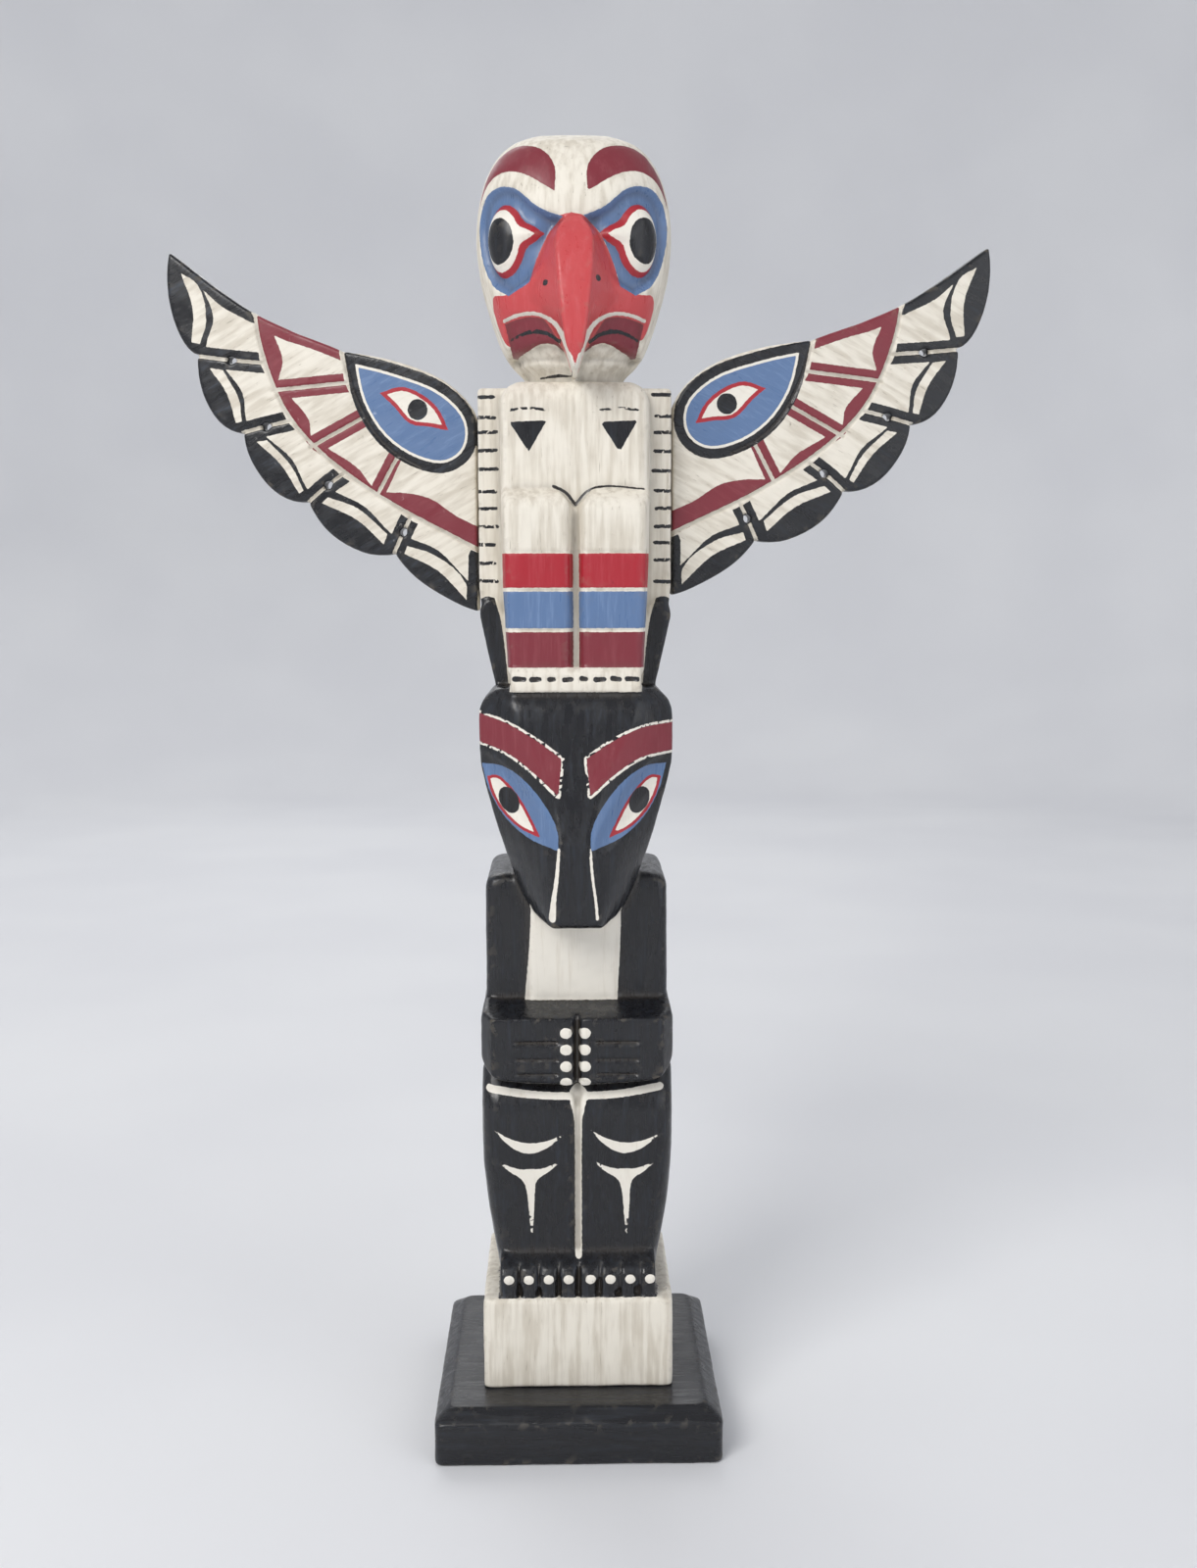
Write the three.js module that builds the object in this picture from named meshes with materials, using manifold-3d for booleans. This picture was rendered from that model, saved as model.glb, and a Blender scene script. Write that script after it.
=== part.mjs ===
// A small carved and painted totem pole: a bird with spread wings above a seated bear,
// cut from one square log, on a bevelled plinth. The two wings are separate boards.
// Millimetres, +Z up. The front faces -Y, and the origin is the centre of the underside.

import * as THREE from "three";
import { mergeVertices } from "three/addons/utils/BufferGeometryUtils.js";
import Module from "manifold-3d";

const wasm = await Module();
wasm.setup();

// ---------------------------------------------------------------- driving dimensions

const TOTAL_HEIGHT = 500;
const JOINT_GAP = 0.3;

const BASE = { side: 110, height: 21, bevelInset: 5.6, bevelDrop: 4.7, corner: 3 };

// The log that everything but the wings and the plinth is carved from.
const LOG = { half: 36.8, front: -35, back: 33, edge: 2 };

// Heights at which one carved part gives way to the next.
const LEVEL = {
  footBlock: 57,
  shoulder: 221.5,
  bearChin: 205,
  bearTop: 294,
  birdAnkle: 301,
  birdKnee: 368,
  chestTop: 407.5,
  neck: 404,
  beakTip: 409,
  beakTop: 463.6,
};

const FEET = { half: 30.2, front: -33.5, top: 71, toes: 8, gap: 2.4, gapDepth: 3 };
const LEG_GROOVE = { width: 2.6, depth: 2.2 };
const ARM = { half: 36.8, front: -36, chamfer: 4.4, chamferDepth: 7, elbowBack: 12 };
const HAND = { grooveWidth: 2.2, grooveDepth: 2.4, fingerReach: 25, fingerDepth: 0.9 };
const FINGER_LINES = [159.6, 153, 147.6];
const TORSO = { half: 35.2, front: -18, chamfer: 3.6 };
const BREAST = { topHalf: 17.5, footHalf: 18.5, front: -19.6, bevel: 4.5 };
const BIRD_LEG = { inner: 1.1, topHalf: 27.8, footHalf: 25.4, front: -30 };
const BIRD_LEG_LINES = [344.8, 330.6, 315.4];
const TOE_PLATE = { half: 24.4, front: -31 };
const CHEST = { half: 28, front: -21.5, corner: 4 };
const POST = { half: 36.8, front: -8, top: 406.4, foot: 29.8 };
const BEAR_EYE_HOLLOW = { centre: [24, -35.2, 250.5], radii: [11, 6, 31], turn: 0.6, tilt: 0.86 };
const BIRD_EYE = { turn: 0.65, ball: [19.4, -18.2, 456], ballRadii: [15, 7.4, 18.4] };
const BIRD_EYE_HOLLOW = { centre: [29.9, -32.6, 456.5], radii: [30, 14, 27] };
const BEAK_HOLLOW = { centre: [9, -36.6, 458.4], radii: [12, 6.4, 6.6], turn: 0.2, tilt: 0.3 };
const BEAK = { root: -27, behind: -10, flatEdge: 0.6, edgeDepth: 0.9 };
const MOUTH_DEPTH = 1.4;
const CHIN_DEPTH = 3.2;

// How square the head is in plan: 2 is an ellipse.
const HEAD_POWER = 2.35;
const WING = { thickness: 7, sweep: 8, rootY: 2, pivot: 365, holeRadius: 1.6, setIn: 0.8 };

// How each board differs from the shared outline: its length, its turn about the root in
// degrees, and how far it sits above it.
const WING_LEFT = { side: -1, stretch: 0.974, turn: 1.5, lift: -5.9 };
const WING_RIGHT = { side: 1, stretch: 1, turn: 0, lift: 0 };

// ---------------------------------------------------------------- paints

const PAINT = {
  black: new THREE.MeshStandardMaterial({ color: 0x17181c, roughness: 0.42, metalness: 0 }),
  cream: new THREE.MeshStandardMaterial({ color: 0xd6cfc4, roughness: 0.6, metalness: 0 }),
  wing: new THREE.MeshStandardMaterial({ color: 0xdcd6cc, roughness: 0.55, metalness: 0 }),
};

// ---------------------------------------------------------------- joining and cutting

// The closed solid that a closed geometry bounds.
function solid(geometry) {
  const bare = geometry.clone();
  bare.deleteAttribute("normal");
  bare.deleteAttribute("uv");
  const merged = mergeVertices(bare, 1e-3);
  const vertProperties = new Float32Array(merged.attributes.position.array);
  const triVerts = new Uint32Array(merged.index.array);
  return new wasm.Manifold(new wasm.Mesh({ numProp: 3, vertProperties, triVerts }));
}

function geometryOf(shape) {
  const { vertProperties, triVerts } = shape.getMesh();
  const geometry = new THREE.BufferGeometry();
  geometry.setAttribute("position", new THREE.BufferAttribute(vertProperties, 3));
  geometry.setIndex(new THREE.BufferAttribute(triVerts, 1));
  geometry.computeVertexNormals();
  return geometry;
}

function join(shapes) {
  return shapes.reduce((whole, next) => whole.add(next));
}

// Both a shape and its mirror image in the plane x = 0.
function bothSides(make) {
  return join([make(-1), make(1)]);
}

// ---------------------------------------------------------------- simple solids

function box(xs, ys, zs) {
  const size = [xs, ys, zs].map(([low, high]) => high - low);
  const middle = [xs, ys, zs].map(([low, high]) => (low + high) / 2);
  return solid(new THREE.BoxGeometry(...size).translate(...middle));
}

function ellipsoid(centre, radii, turn = 0, tilt = 0) {
  const geometry = new THREE.SphereGeometry(1, 18, 12);
  geometry.scale(...radii).rotateY(tilt).rotateZ(turn).translate(...centre);
  return solid(geometry);
}

function shapeOf(points) {
  return new THREE.Shape(points.map((p) => new THREE.Vector2(...p)));
}

// An outline of [x, z] points, or a Shape, made solid between two depths.
function frontPlate(outline, near, far) {
  const shape = outline instanceof THREE.Shape ? outline : shapeOf(outline);
  const options = { depth: far - near, bevelEnabled: false, curveSegments: 6 };
  const geometry = new THREE.ExtrudeGeometry(shape, options);
  return solid(geometry.rotateX(Math.PI / 2).translate(0, far, 0));
}

// An outline of [y, z] points made solid between two x values.
function sidePlate(outline, left, right) {
  const geometry = new THREE.ExtrudeGeometry(shapeOf(outline), { depth: right - left, bevelEnabled: false });
  const toSide = new THREE.Matrix4().makeBasis(
    new THREE.Vector3(0, 1, 0),
    new THREE.Vector3(0, 0, 1),
    new THREE.Vector3(1, 0, 0),
  );
  return solid(geometry.applyMatrix4(toSide).translate(left, 0, 0));
}

// A solid skinned over a stack of level rings, lowest first, each with as many points.
function loft(rings) {
  const count = rings[0].length;
  const positions = rings.flat().flatMap((p) => [p.x, p.y, p.z]);
  const indices = [];
  for (let level = 0; level < rings.length - 1; level += 1) {
    for (let i = 0; i < count; i += 1) {
      const a = level * count + i;
      const b = level * count + ((i + 1) % count);
      indices.push(a, b, b + count, a, b + count, a + count);
    }
  }
  const cap = (ring, first, flip) => {
    const flat = ring.map((p) => new THREE.Vector2(p.x, p.y));
    for (const [a, b, c] of THREE.ShapeUtils.triangulateShape(flat, [])) {
      indices.push(...(flip ? [c, b, a] : [a, b, c]).map((k) => first + k));
    }
  };
  cap(rings[0], 0, true);
  cap(rings[rings.length - 1], (rings.length - 1) * count, false);
  const geometry = new THREE.BufferGeometry();
  geometry.setAttribute("position", new THREE.Float32BufferAttribute(positions, 3));
  geometry.setIndex(indices);
  return solid(geometry);
}

// A level rectangle with rounded corners, anticlockwise from above.
function roundedRing({ z, left, right, front, back, frontEdge = 1, backEdge = 1, steps = 3 }) {
  const corners = [
    [left + frontEdge, front + frontEdge, frontEdge, 2],
    [right - frontEdge, front + frontEdge, frontEdge, 3],
    [right - backEdge, back - backEdge, backEdge, 0],
    [left + backEdge, back - backEdge, backEdge, 1],
  ];
  return corners.flatMap(([x, y, radius, quarter]) =>
    Array.from({ length: steps + 1 }, (_, k) => {
      const angle = (quarter + k / steps) * (Math.PI / 2);
      return new THREE.Vector3(x + radius * Math.cos(angle), y + radius * Math.sin(angle), z);
    }),
  );
}

// A smooth curve through [position, value] pairs that never overshoots them.
function profile(pairs) {
  const last = pairs.length - 1;
  const rise = (k) => (pairs[k + 1][1] - pairs[k][1]) / (pairs[k + 1][0] - pairs[k][0]);
  const slope = (k) => {
    if (k === 0) return rise(0);
    if (k === last) return rise(last - 1);
    const [before, after] = [rise(k - 1), rise(k)];
    return before * after <= 0 ? 0 : (2 * before * after) / (before + after);
  };
  return (at) => {
    if (at <= pairs[0][0]) return pairs[0][1];
    if (at >= pairs[last][0]) return pairs[last][1];
    const k = pairs.findIndex((pair) => pair[0] > at) - 1;
    const width = pairs[k + 1][0] - pairs[k][0];
    const t = (at - pairs[k][0]) / width;
    const start = pairs[k][1] * (1 + 2 * t) * (1 - t) ** 2 + slope(k) * width * t * (1 - t) ** 2;
    const end = pairs[k + 1][1] * t * t * (3 - 2 * t) - slope(k + 1) * width * t * t * (1 - t);
    return start + end;
  };
}

function levels(bottom, top, steps) {
  return Array.from({ length: steps + 1 }, (_, k) => bottom + ((top - bottom) * k) / steps);
}

// ---------------------------------------------------------------- plinth

function makeBase() {
  const ring = (z, half, edge) =>
    roundedRing({ z, left: -half, right: half, front: -half, back: half, frontEdge: edge, backEdge: edge });
  const half = BASE.side / 2;
  const shoulder = BASE.height - BASE.bevelDrop;
  return loft([
    ring(0, half - 0.6, BASE.corner),
    ring(0.8, half, BASE.corner),
    ring(shoulder, half, BASE.corner),
    ring(BASE.height - 0.5, half - BASE.bevelInset + 0.3, BASE.corner + 1),
    ring(BASE.height, half - BASE.bevelInset - 0.3, BASE.corner + 1),
  ]);
}

// ---------------------------------------------------------------- foot block and bear

function makeFootBlock() {
  const ring = (z, inset) =>
    roundedRing({
      z,
      left: -LOG.half + inset,
      right: LOG.half - inset,
      front: LOG.front + inset,
      back: LOG.back,
      frontEdge: LOG.edge,
      backEdge: 1,
    });
  return loft([ring(BASE.height, 0), ring(LEVEL.footBlock - 1, 0), ring(LEVEL.footBlock, 1)]);
}

const BEAR_LEG = { low: 55, top: 146, knee: 137 };
const bearLegHalf = profile([[55, 29.8], [70, 31.6], [83, 33.9], [99, 35.7], [115, 36.7], [146, 36.9]]);
const bearLegFront = profile([[55, -24], [75, -25.4], [100, -28.5], [127, -31.4], [134, -30.6], [146, -23]]);

function makeBearLegs() {
  const { low, knee, top } = BEAR_LEG;
  const heights = [low, 62, ...levels(70, 120, 5), 127, 131, 134, knee, 141, top];
  const legs = loft(
    heights.map((z) =>
      roundedRing({
        z,
        left: -bearLegHalf(z),
        right: bearLegHalf(z),
        front: bearLegFront(z),
        back: LOG.back,
        frontEdge: 6,
        backEdge: 1,
      }),
    ),
  );
  const half = LEG_GROOVE.width / 2;
  const floor = heights.map((z) => [bearLegFront(z) + LEG_GROOVE.depth, z]);
  const groove = sidePlate([[-60, low], ...floor, [-60, top]], -half, half);
  // The inner corner of each knee is rounded over into the strip between the legs.
  const notchFloor = bearLegFront(knee) + LEG_GROOVE.depth;
  const kneeNotch = frontPlate([[-5.5, 148], [0, 131], [5.5, 148]], -60, notchFloor);
  return legs.subtract(groove).subtract(kneeNotch);
}

function makeBearFeet() {
  const { half, front, top, toes, gap, gapDepth } = FEET;
  const side = [[front, 55], [front, 66], [front + 1.5, 68.5], [-25, top + 2], [0, top + 2], [0, 55]];
  const pitch = (2 * half) / toes;
  let feet = sidePlate(side, -half, half);
  for (let k = 1; k < toes; k += 1) {
    const x = -half + k * pitch;
    const notch = [[x - gap / 2, 50], [x + gap / 2, 50], [x + gap / 4, top - 3], [x - gap / 4, top - 3]];
    feet = feet.subtract(frontPlate(notch, front - 5, front + gapDepth));
  }
  return feet;
}

function makeArms() {
  const { half, front, chamfer, chamferDepth, elbowBack } = ARM;
  const outline = new THREE.Shape();
  outline.moveTo(-half, 153);
  outline.quadraticCurveTo(-half + 1, 147, -half + 8, 144.6);
  outline.quadraticCurveTo(-18, 142.8, 0, 142.6);
  outline.quadraticCurveTo(18, 142.8, half - 8, 144.6);
  outline.quadraticCurveTo(half - 1, 147, half, 153);
  outline.lineTo(half, 168);
  outline.lineTo(TORSO.half, 174);
  outline.lineTo(-TORSO.half, 174);
  outline.lineTo(-half, 168);
  const band = frontPlate(outline, front, elbowBack);
  const planRing = (z) => [
    new THREE.Vector3(-half, elbowBack, z),
    new THREE.Vector3(-half, front + chamferDepth, z),
    new THREE.Vector3(-half + chamfer, front, z),
    new THREE.Vector3(half - chamfer, front, z),
    new THREE.Vector3(half, front + chamferDepth, z),
    new THREE.Vector3(half, elbowBack, z),
  ];
  const plan = loft([planRing(140), planRing(180)]);
  const underside = [[front, 146], [front + 2.5, 141], [elbowBack, 141]];
  const topside = [[elbowBack, 174], [TORSO.front, 172.8], [front, 168.9]];
  const side = sidePlate([...underside, ...topside], -half - 1, half + 1);
  let arms = band.intersect(plan).intersect(side);
  const palm = HAND.grooveWidth / 2;
  arms = arms.subtract(box([-palm, palm], [front - 5, front + HAND.grooveDepth], [130, 180]));
  for (const z of FINGER_LINES) {
    const cut = [[front - 1, z - 1.3], [front + HAND.fingerDepth, z], [front - 1, z + 1.3]];
    arms = arms.subtract(sidePlate(cut, -HAND.fingerReach, HAND.fingerReach));
  }
  return arms;
}

function makeTorso() {
  const { half, front, chamfer } = TORSO;
  const rows = [[140, 0], [216.5, 0], [219.2, 0.8], [220.8, 2.6], [LEVEL.shoulder, 5.4]];
  const body = loft(
    rows.map(([z, inset]) =>
      roundedRing({
        z,
        left: -half + inset,
        right: half - inset,
        front: front + inset * 0.8,
        back: LOG.back,
        frontEdge: chamfer,
        backEdge: 1,
      }),
    ),
  );
  const { topHalf, footHalf, bevel } = BREAST;
  const breastFront = (z, w) => [
    new THREE.Vector3(-w, 0, z),
    new THREE.Vector3(-w, BREAST.front, z),
    new THREE.Vector3(w - bevel, BREAST.front, z),
    new THREE.Vector3(w, front + 0.2, z),
    new THREE.Vector3(w, 0, z),
  ];
  return body.add(loft([breastFront(160, footHalf), breastFront(215, topHalf)]));
}

// The bear's head in level slices: half-width at the side, half-width and depth of the
// flat front, and depth at which the slanting cheek meets the side.
const bearSide = profile([
  [205, 11.6], [206.4, 14.6], [209, 17.2], [212, 19.4], [227, 25.6], [238, 29.2], [248, 32], [258, 34.7],
  [266, 36.4], [284, 36.6], [289, 35.2], [294, 30],
]);
const bearRidge = profile([[205, 9.4], [209, 8.4], [235, 6.2], [248, 7.6], [260, 11], [284, 22], [294, 24]]);
const bearFront = profile([
  [205, -41.6], [207.4, -44], [234, -43.4], [246, -40.2], [270, -35.6], [287, -32.6], [294, -27.6],
]);
const bearCheek = profile([[205, -28.6], [209, -25], [228, -21], [250, -22], [270, -24], [294, -21]]);

function makeBearHead() {
  const chin = [0, 1.2, 2.6, 5, 9].map((rise) => LEVEL.bearChin + rise);
  const heights = [...chin, ...levels(219, 282, 11), 286, 289, 291.4, 293.2, LEVEL.bearTop];
  const across = [0.18, 0.38, 0.6, 0.82];
  const bulge = 0.1;
  return loft(
    heights.map((z) => {
      const [side, ridge, front, cheek] = [bearSide(z), bearRidge(z), bearFront(z), bearCheek(z)];
      const inner = Math.min(side - 0.6, ridge);
      const slant = (s, t) => {
        const depth = front + (t - bulge * 4 * t * (1 - t)) * (cheek - front);
        return new THREE.Vector3(s * (inner + t * (side - inner)), depth, z);
      };
      const half = (s) => [
        ...[0, ...across, 1].map((t) => slant(s, t)),
        new THREE.Vector3(s * side, LOG.back, z),
      ];
      return [...half(-1).reverse(), ...half(1)];
    }),
  );
}

// Shallow hollows for the eyes, slanting down towards the nose.
function makeBearEyeHollows() {
  const { centre, radii, turn, tilt } = BEAR_EYE_HOLLOW;
  const [x, y, z] = centre;
  return bothSides((s) => ellipsoid([s * x, y, z], radii, s * turn, s * tilt));
}

// ---------------------------------------------------------------- bird body

const postHalf = profile([[292, POST.foot - 0.4], [300, POST.foot + 0.6], [326, 36.2], [332, POST.half]]);

function makeBirdBack() {
  const heights = [290, 294, 302, 310, 318, 326, 332, POST.top - 1, POST.top];
  return loft(
    heights.map((z) => {
      const inset = z === POST.top ? 0.8 : 0;
      const half = postHalf(z) - inset;
      return roundedRing({ z, left: -half, right: half, front: POST.front + inset, back: LOG.back });
    }),
  );
}

// The folded wing tips that run down beside the legs, rounded at the top.
function makeTailLobes() {
  return bothSides((s) => {
    const lobe = new THREE.Shape();
    lobe.moveTo(s * 25, 292);
    lobe.lineTo(s * (POST.foot + 0.6), 292);
    lobe.lineTo(s * 36.6, 320);
    lobe.quadraticCurveTo(s * 37, 327, s * 32, 327);
    lobe.quadraticCurveTo(s * 28, 326, s * 27.4, 318);
    lobe.lineTo(s * 25, 292);
    return frontPlate(lobe, POST.front - 1.2, 10);
  });
}

const birdLegHalf = profile([[292, 25.2], [301, BIRD_LEG.footHalf], [330, 27], [368, BIRD_LEG.topHalf]]);

function makeBirdLegs() {
  const heights = [LEVEL.birdAnkle - 1, 315, 330, 345, 356, 361, 364, 366.5, LEVEL.birdKnee];
  const front = profile([[290, -29], [330, -29.8], [358, BIRD_LEG.front], [362.5, -29.4], [368.2, -22]]);
  const edge = 2.6;
  const oneLeg = (s) =>
    loft(
      heights.map((z) => {
        const [near, far] = [BIRD_LEG.inner, birdLegHalf(z)];
        const sides = s < 0 ? { left: -far, right: -near } : { left: near, right: far };
        return roundedRing({ z, ...sides, front: front(z), back: 0, frontEdge: edge, backEdge: 0.5 });
      }),
    );
  const web = box([-3, 3], [-27.2, 0], [LEVEL.birdAnkle - 1, 362]);
  let legs = join([oneLeg(-1), oneLeg(1), web]);
  for (const z of BIRD_LEG_LINES) {
    const cut = [[-34, z - 3], [-29.1, z], [-34, z + 3]];
    legs = legs.subtract(sidePlate(cut, -40, 40));
  }
  const notch = [[-7.4, LEVEL.birdKnee + 0.6], [0, 360.5], [7.4, LEVEL.birdKnee + 0.6]];
  return legs.subtract(frontPlate(notch, -40, CHEST.front));
}

function makeToePlate() {
  const { half, front } = TOE_PLATE;
  const top = LEVEL.birdAnkle + 0.6;
  return sidePlate([[front, 292.5], [front, 299.5], [front + 1.4, top], [0, top], [0, 292.5]], -half, half);
}

function makeChest() {
  const { half, front, corner } = CHEST;
  const rows = [[355, 0], [400, 0], [403.6, 1.2], [406, 3.2], [LEVEL.chestTop, 6]];
  return loft(
    rows.map(([z, inset]) =>
      roundedRing({
        z,
        left: -half + inset,
        right: half - inset,
        front: front + inset * 0.7,
        back: 30 - inset,
        frontEdge: corner,
        backEdge: 1,
      }),
    ),
  );
}

// ---------------------------------------------------------------- bird head

// Half-width, reach forward and reach back of the head at each height.
const headHalf = profile([
  [404, 18], [409, 18.6], [416, 24.6], [420, 27], [431, 31.2], [450, 35.9], [461, 36.8], [470, 36.2],
  [480, 34], [489, 29.6], [495, 23.4], [500, 13],
]);
const headReach = profile([
  [404, 15], [409, 16.5], [417, 25], [422, 28], [434, 30.6], [450, 32], [468, 31.8], [480, 29],
  [489, 24.6], [493, 21], [497, 11.4], [500, 0.6],
]);
const headBack = profile([[404, 24], [425, 30.5], [440, 32.6], [465, 32.8], [480, 30.6], [500, 14]]);
const HEAD_LEVELS = [
  LEVEL.neck, 408, 411.5, 415, 419, 424, 430, 437, 444, 452, 460, 468, 475, 481, 486, 490, 493.4, 496,
  498, 499.4, TOTAL_HEIGHT,
];

function makeHeadShell(inset) {
  const around = 44;
  const squareness = 2 / HEAD_POWER;
  const bend = (v) => Math.sign(v) * Math.abs(v) ** squareness;
  return loft(
    HEAD_LEVELS.map((z) =>
      Array.from({ length: around }, (_, k) => {
        const angle = (2 * Math.PI * k) / around;
        const [c, s] = [Math.cos(angle), Math.sin(angle)];
        const reach = s < 0 ? headReach(z) : headBack(z);
        return new THREE.Vector3((headHalf(z) - inset) * bend(c), (reach - inset) * bend(s), z);
      }),
    ),
  );
}

// The upper beak in level slices: half-width where it leaves the face, half-width and
// depth of its flat front.
const beakSide = profile([
  [409, 0.9], [419, 4.3], [429, 10.6], [433, 14], [438, 16], [444, 14.8], [458, 9], [463.6, 4.5],
]);
const beakRidge = profile([[409, 0.5], [420, 3.7], [430, 5], [456, 6.6], [460.5, 5.2], [463.6, 2.6]]);
const beakFront = profile([
  [409, -43.4], [413, -45.8], [420, -47.6], [430, -47.4], [444, -43.8], [456, -38.6], [463.6, -33],
]);

function makeBeak() {
  const { beakTip, beakTop } = LEVEL;
  const low = [beakTip, 410.6, 413, 416, ...levels(419.5, 429, 3)];
  const high = [432, ...levels(436, 456, 4), 459, 461.8, beakTop];
  const { root, behind, flatEdge, edgeDepth } = BEAK;
  const across = [0.25, 0.5, 0.75, 1];
  return loft(
    [...low, ...high].map((z) => {
      const [side, ridge, front] = [beakSide(z), beakRidge(z), beakFront(z)];
      const flank = (s, t) => {
        const depth = front + edgeDepth + t * (root - front);
        return new THREE.Vector3(s * (ridge + t * (side - ridge)), depth, z);
      };
      const half = (s) => [
        new THREE.Vector3(s * ridge * flatEdge, front, z),
        ...[0, ...across].map((t) => flank(s, t)),
        new THREE.Vector3(s * side * 0.9, behind, z),
      ];
      return [...half(-1).reverse(), ...half(1)];
    }),
  );
}

// Below the lip the face steps back: a sunk panel on each side for the mouth, then the chin.
function makeLowerFaceCuts() {
  const mouth = bothSides((s) => {
    const region = new THREE.Shape();
    region.moveTo(s * 27.5, 428.4);
    region.quadraticCurveTo(s * 17, 432.6, s * 11.5, 429.6);
    region.quadraticCurveTo(s * 6.5, 426, s * 3, 415);
    region.lineTo(s * 24.4, 415);
    return frontPlate(region, -60, 0);
  });
  const chin = bothSides((s) => {
    const region = new THREE.Shape();
    region.moveTo(s * 40, 413.6);
    region.lineTo(s * 24.6, 416.4);
    region.quadraticCurveTo(s * 19.6, 421.6, s * 9.4, 421.4);
    region.lineTo(0, 417);
    region.lineTo(0, 403);
    region.lineTo(s * 40, 403);
    return frontPlate(region, -60, 4);
  });
  return mouth.subtract(makeHeadShell(MOUTH_DEPTH)).add(chin.subtract(makeHeadShell(CHIN_DEPTH)));
}

// The eyes bulge from wide hollows that face half sideways and run in to the beak's top.
function makeHead() {
  const onSide = (s, [x, y, z]) => [s * x, y, z];
  const hollows = bothSides((s) => {
    const wide = ellipsoid(onSide(s, BIRD_EYE_HOLLOW.centre), BIRD_EYE_HOLLOW.radii, s * BIRD_EYE.turn);
    const { centre, radii, turn, tilt } = BEAK_HOLLOW;
    return wide.add(ellipsoid(onSide(s, centre), radii, s * turn, s * tilt));
  });
  const { turn: facing, ball, ballRadii } = BIRD_EYE;
  const eyeballs = bothSides((s) => ellipsoid(onSide(s, ball), ballRadii, s * facing));
  const face = makeHeadShell(0).subtract(makeLowerFaceCuts()).subtract(hollows);
  return join([face, eyeballs, makeBeak()]);
}

// ---------------------------------------------------------------- pole

function makePole() {
  const bearHead = makeBearHead().subtract(makeBearEyeHollows());
  const bear = [makeFootBlock(), makeBearLegs(), makeBearFeet(), makeTorso(), makeArms(), bearHead];
  const bird = [makeBirdBack(), makeTailLobes(), makeBirdLegs(), makeToePlate(), makeChest(), makeHead()];
  return join([...bear, ...bird]);
}

// ---------------------------------------------------------------- wings

// The board's outline as [distance from the root, height]. Five feathers end in
// scallops that meet at notches, and the top edge falls in a hollow curve to the root.
const WING_TIP = [127.4, 463.8];
const WING_NOTCHES = [[115.7, 425], [97, 395], [70, 369], [34, 349.6]];
const WING_ROOT = { top: 395, foot: 328, tenon: -4 };
const WING_HOLES = [[101.8, 423], [87.3, 397.8], [61.7, 375.6], [30.6, 357.9]];

// Carved lines: between the three rows of feathers, and from each notch inwards.
const WING_LINES = [
  [[92, 441], [89.5, 428], [80, 405], [68.6, 391.5], [40.6, 372.5], [-2, 353]],
  [[56, 427], [54, 418.4], [44.4, 398.2], [34.8, 388.6], [24, 383]],
  [WING_NOTCHES[0], WING_HOLES[0], [87.8, 421.4]],
  [WING_NOTCHES[1], WING_HOLES[1], [76.6, 399.4]],
  [WING_NOTCHES[2], WING_HOLES[2], [54.8, 380]],
  [WING_NOTCHES[3], WING_HOLES[3], [27.4, 363.4]],
  [[81.6, 411.2], [53.8, 413.4]],
  [[66.4, 389.8], [45.4, 400.4]],
  [[40.6, 372.6], [31, 386.6]],
];
const LINE = { width: 1.5, depth: 0.7 };
const HOLE_SIDES = 8;

function wingOutline() {
  const shape = new THREE.Shape();
  const curve = (a, b, end) => shape.bezierCurveTo(...a, ...b, ...end);
  const [n1, n2, n3, n4] = WING_NOTCHES;
  shape.moveTo(WING_ROOT.tenon, WING_ROOT.foot);
  shape.lineTo(0, WING_ROOT.foot);
  curve([12, 331], [28, 340], n4);
  curve([47, 346.5], [63, 354], n3);
  curve([82, 367], [95, 380], n2);
  curve([108, 395], [117, 410], n1);
  curve([124, 427], [131, 447], WING_TIP);
  curve([110, 452], [104, 447], [92, 440.8]);
  curve([80, 434.6], [68, 431.5], [56, 426.8]);
  curve([34, 424], [3, 419], [0, WING_ROOT.top]);
  shape.lineTo(WING_ROOT.tenon, WING_ROOT.top);
  shape.closePath();
  for (const [u, v] of WING_HOLES) {
    const radius = WING.holeRadius;
    const rim = levels(0, Math.PI * 2, HOLE_SIDES).slice(1);
    const points = rim.map((a) => new THREE.Vector2(u + radius * Math.cos(a), v + radius * Math.sin(a)));
    shape.holes.push(new THREE.Path(points));
  }
  return shape;
}

// A V-shaped groove along a run of points in the board's face.
function wingGroove(points) {
  const line = points.map((p) => new THREE.Vector2(...p));
  const half = LINE.width / 2;
  const section = shapeOf([[-half, 0.01], [0, -LINE.depth], [half, 0.01]]);
  const overrun = 0.3;
  const runs = line.slice(1).map((end, k) => {
    const along = end.clone().sub(line[k]).normalize();
    const from = line[k].clone().addScaledVector(along, -overrun);
    const options = { depth: from.distanceTo(end) + overrun, bevelEnabled: false };
    const across = new THREE.Vector3(-along.y, along.x, 0);
    const up = new THREE.Vector3(0, 0, 1);
    const forward = new THREE.Vector3(along.x, along.y, 0);
    const placed = new THREE.Matrix4().makeBasis(across, up, forward).setPosition(from.x, from.y, 0);
    return solid(new THREE.ExtrudeGeometry(section, options).applyMatrix4(placed));
  });
  return join(runs);
}

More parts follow.
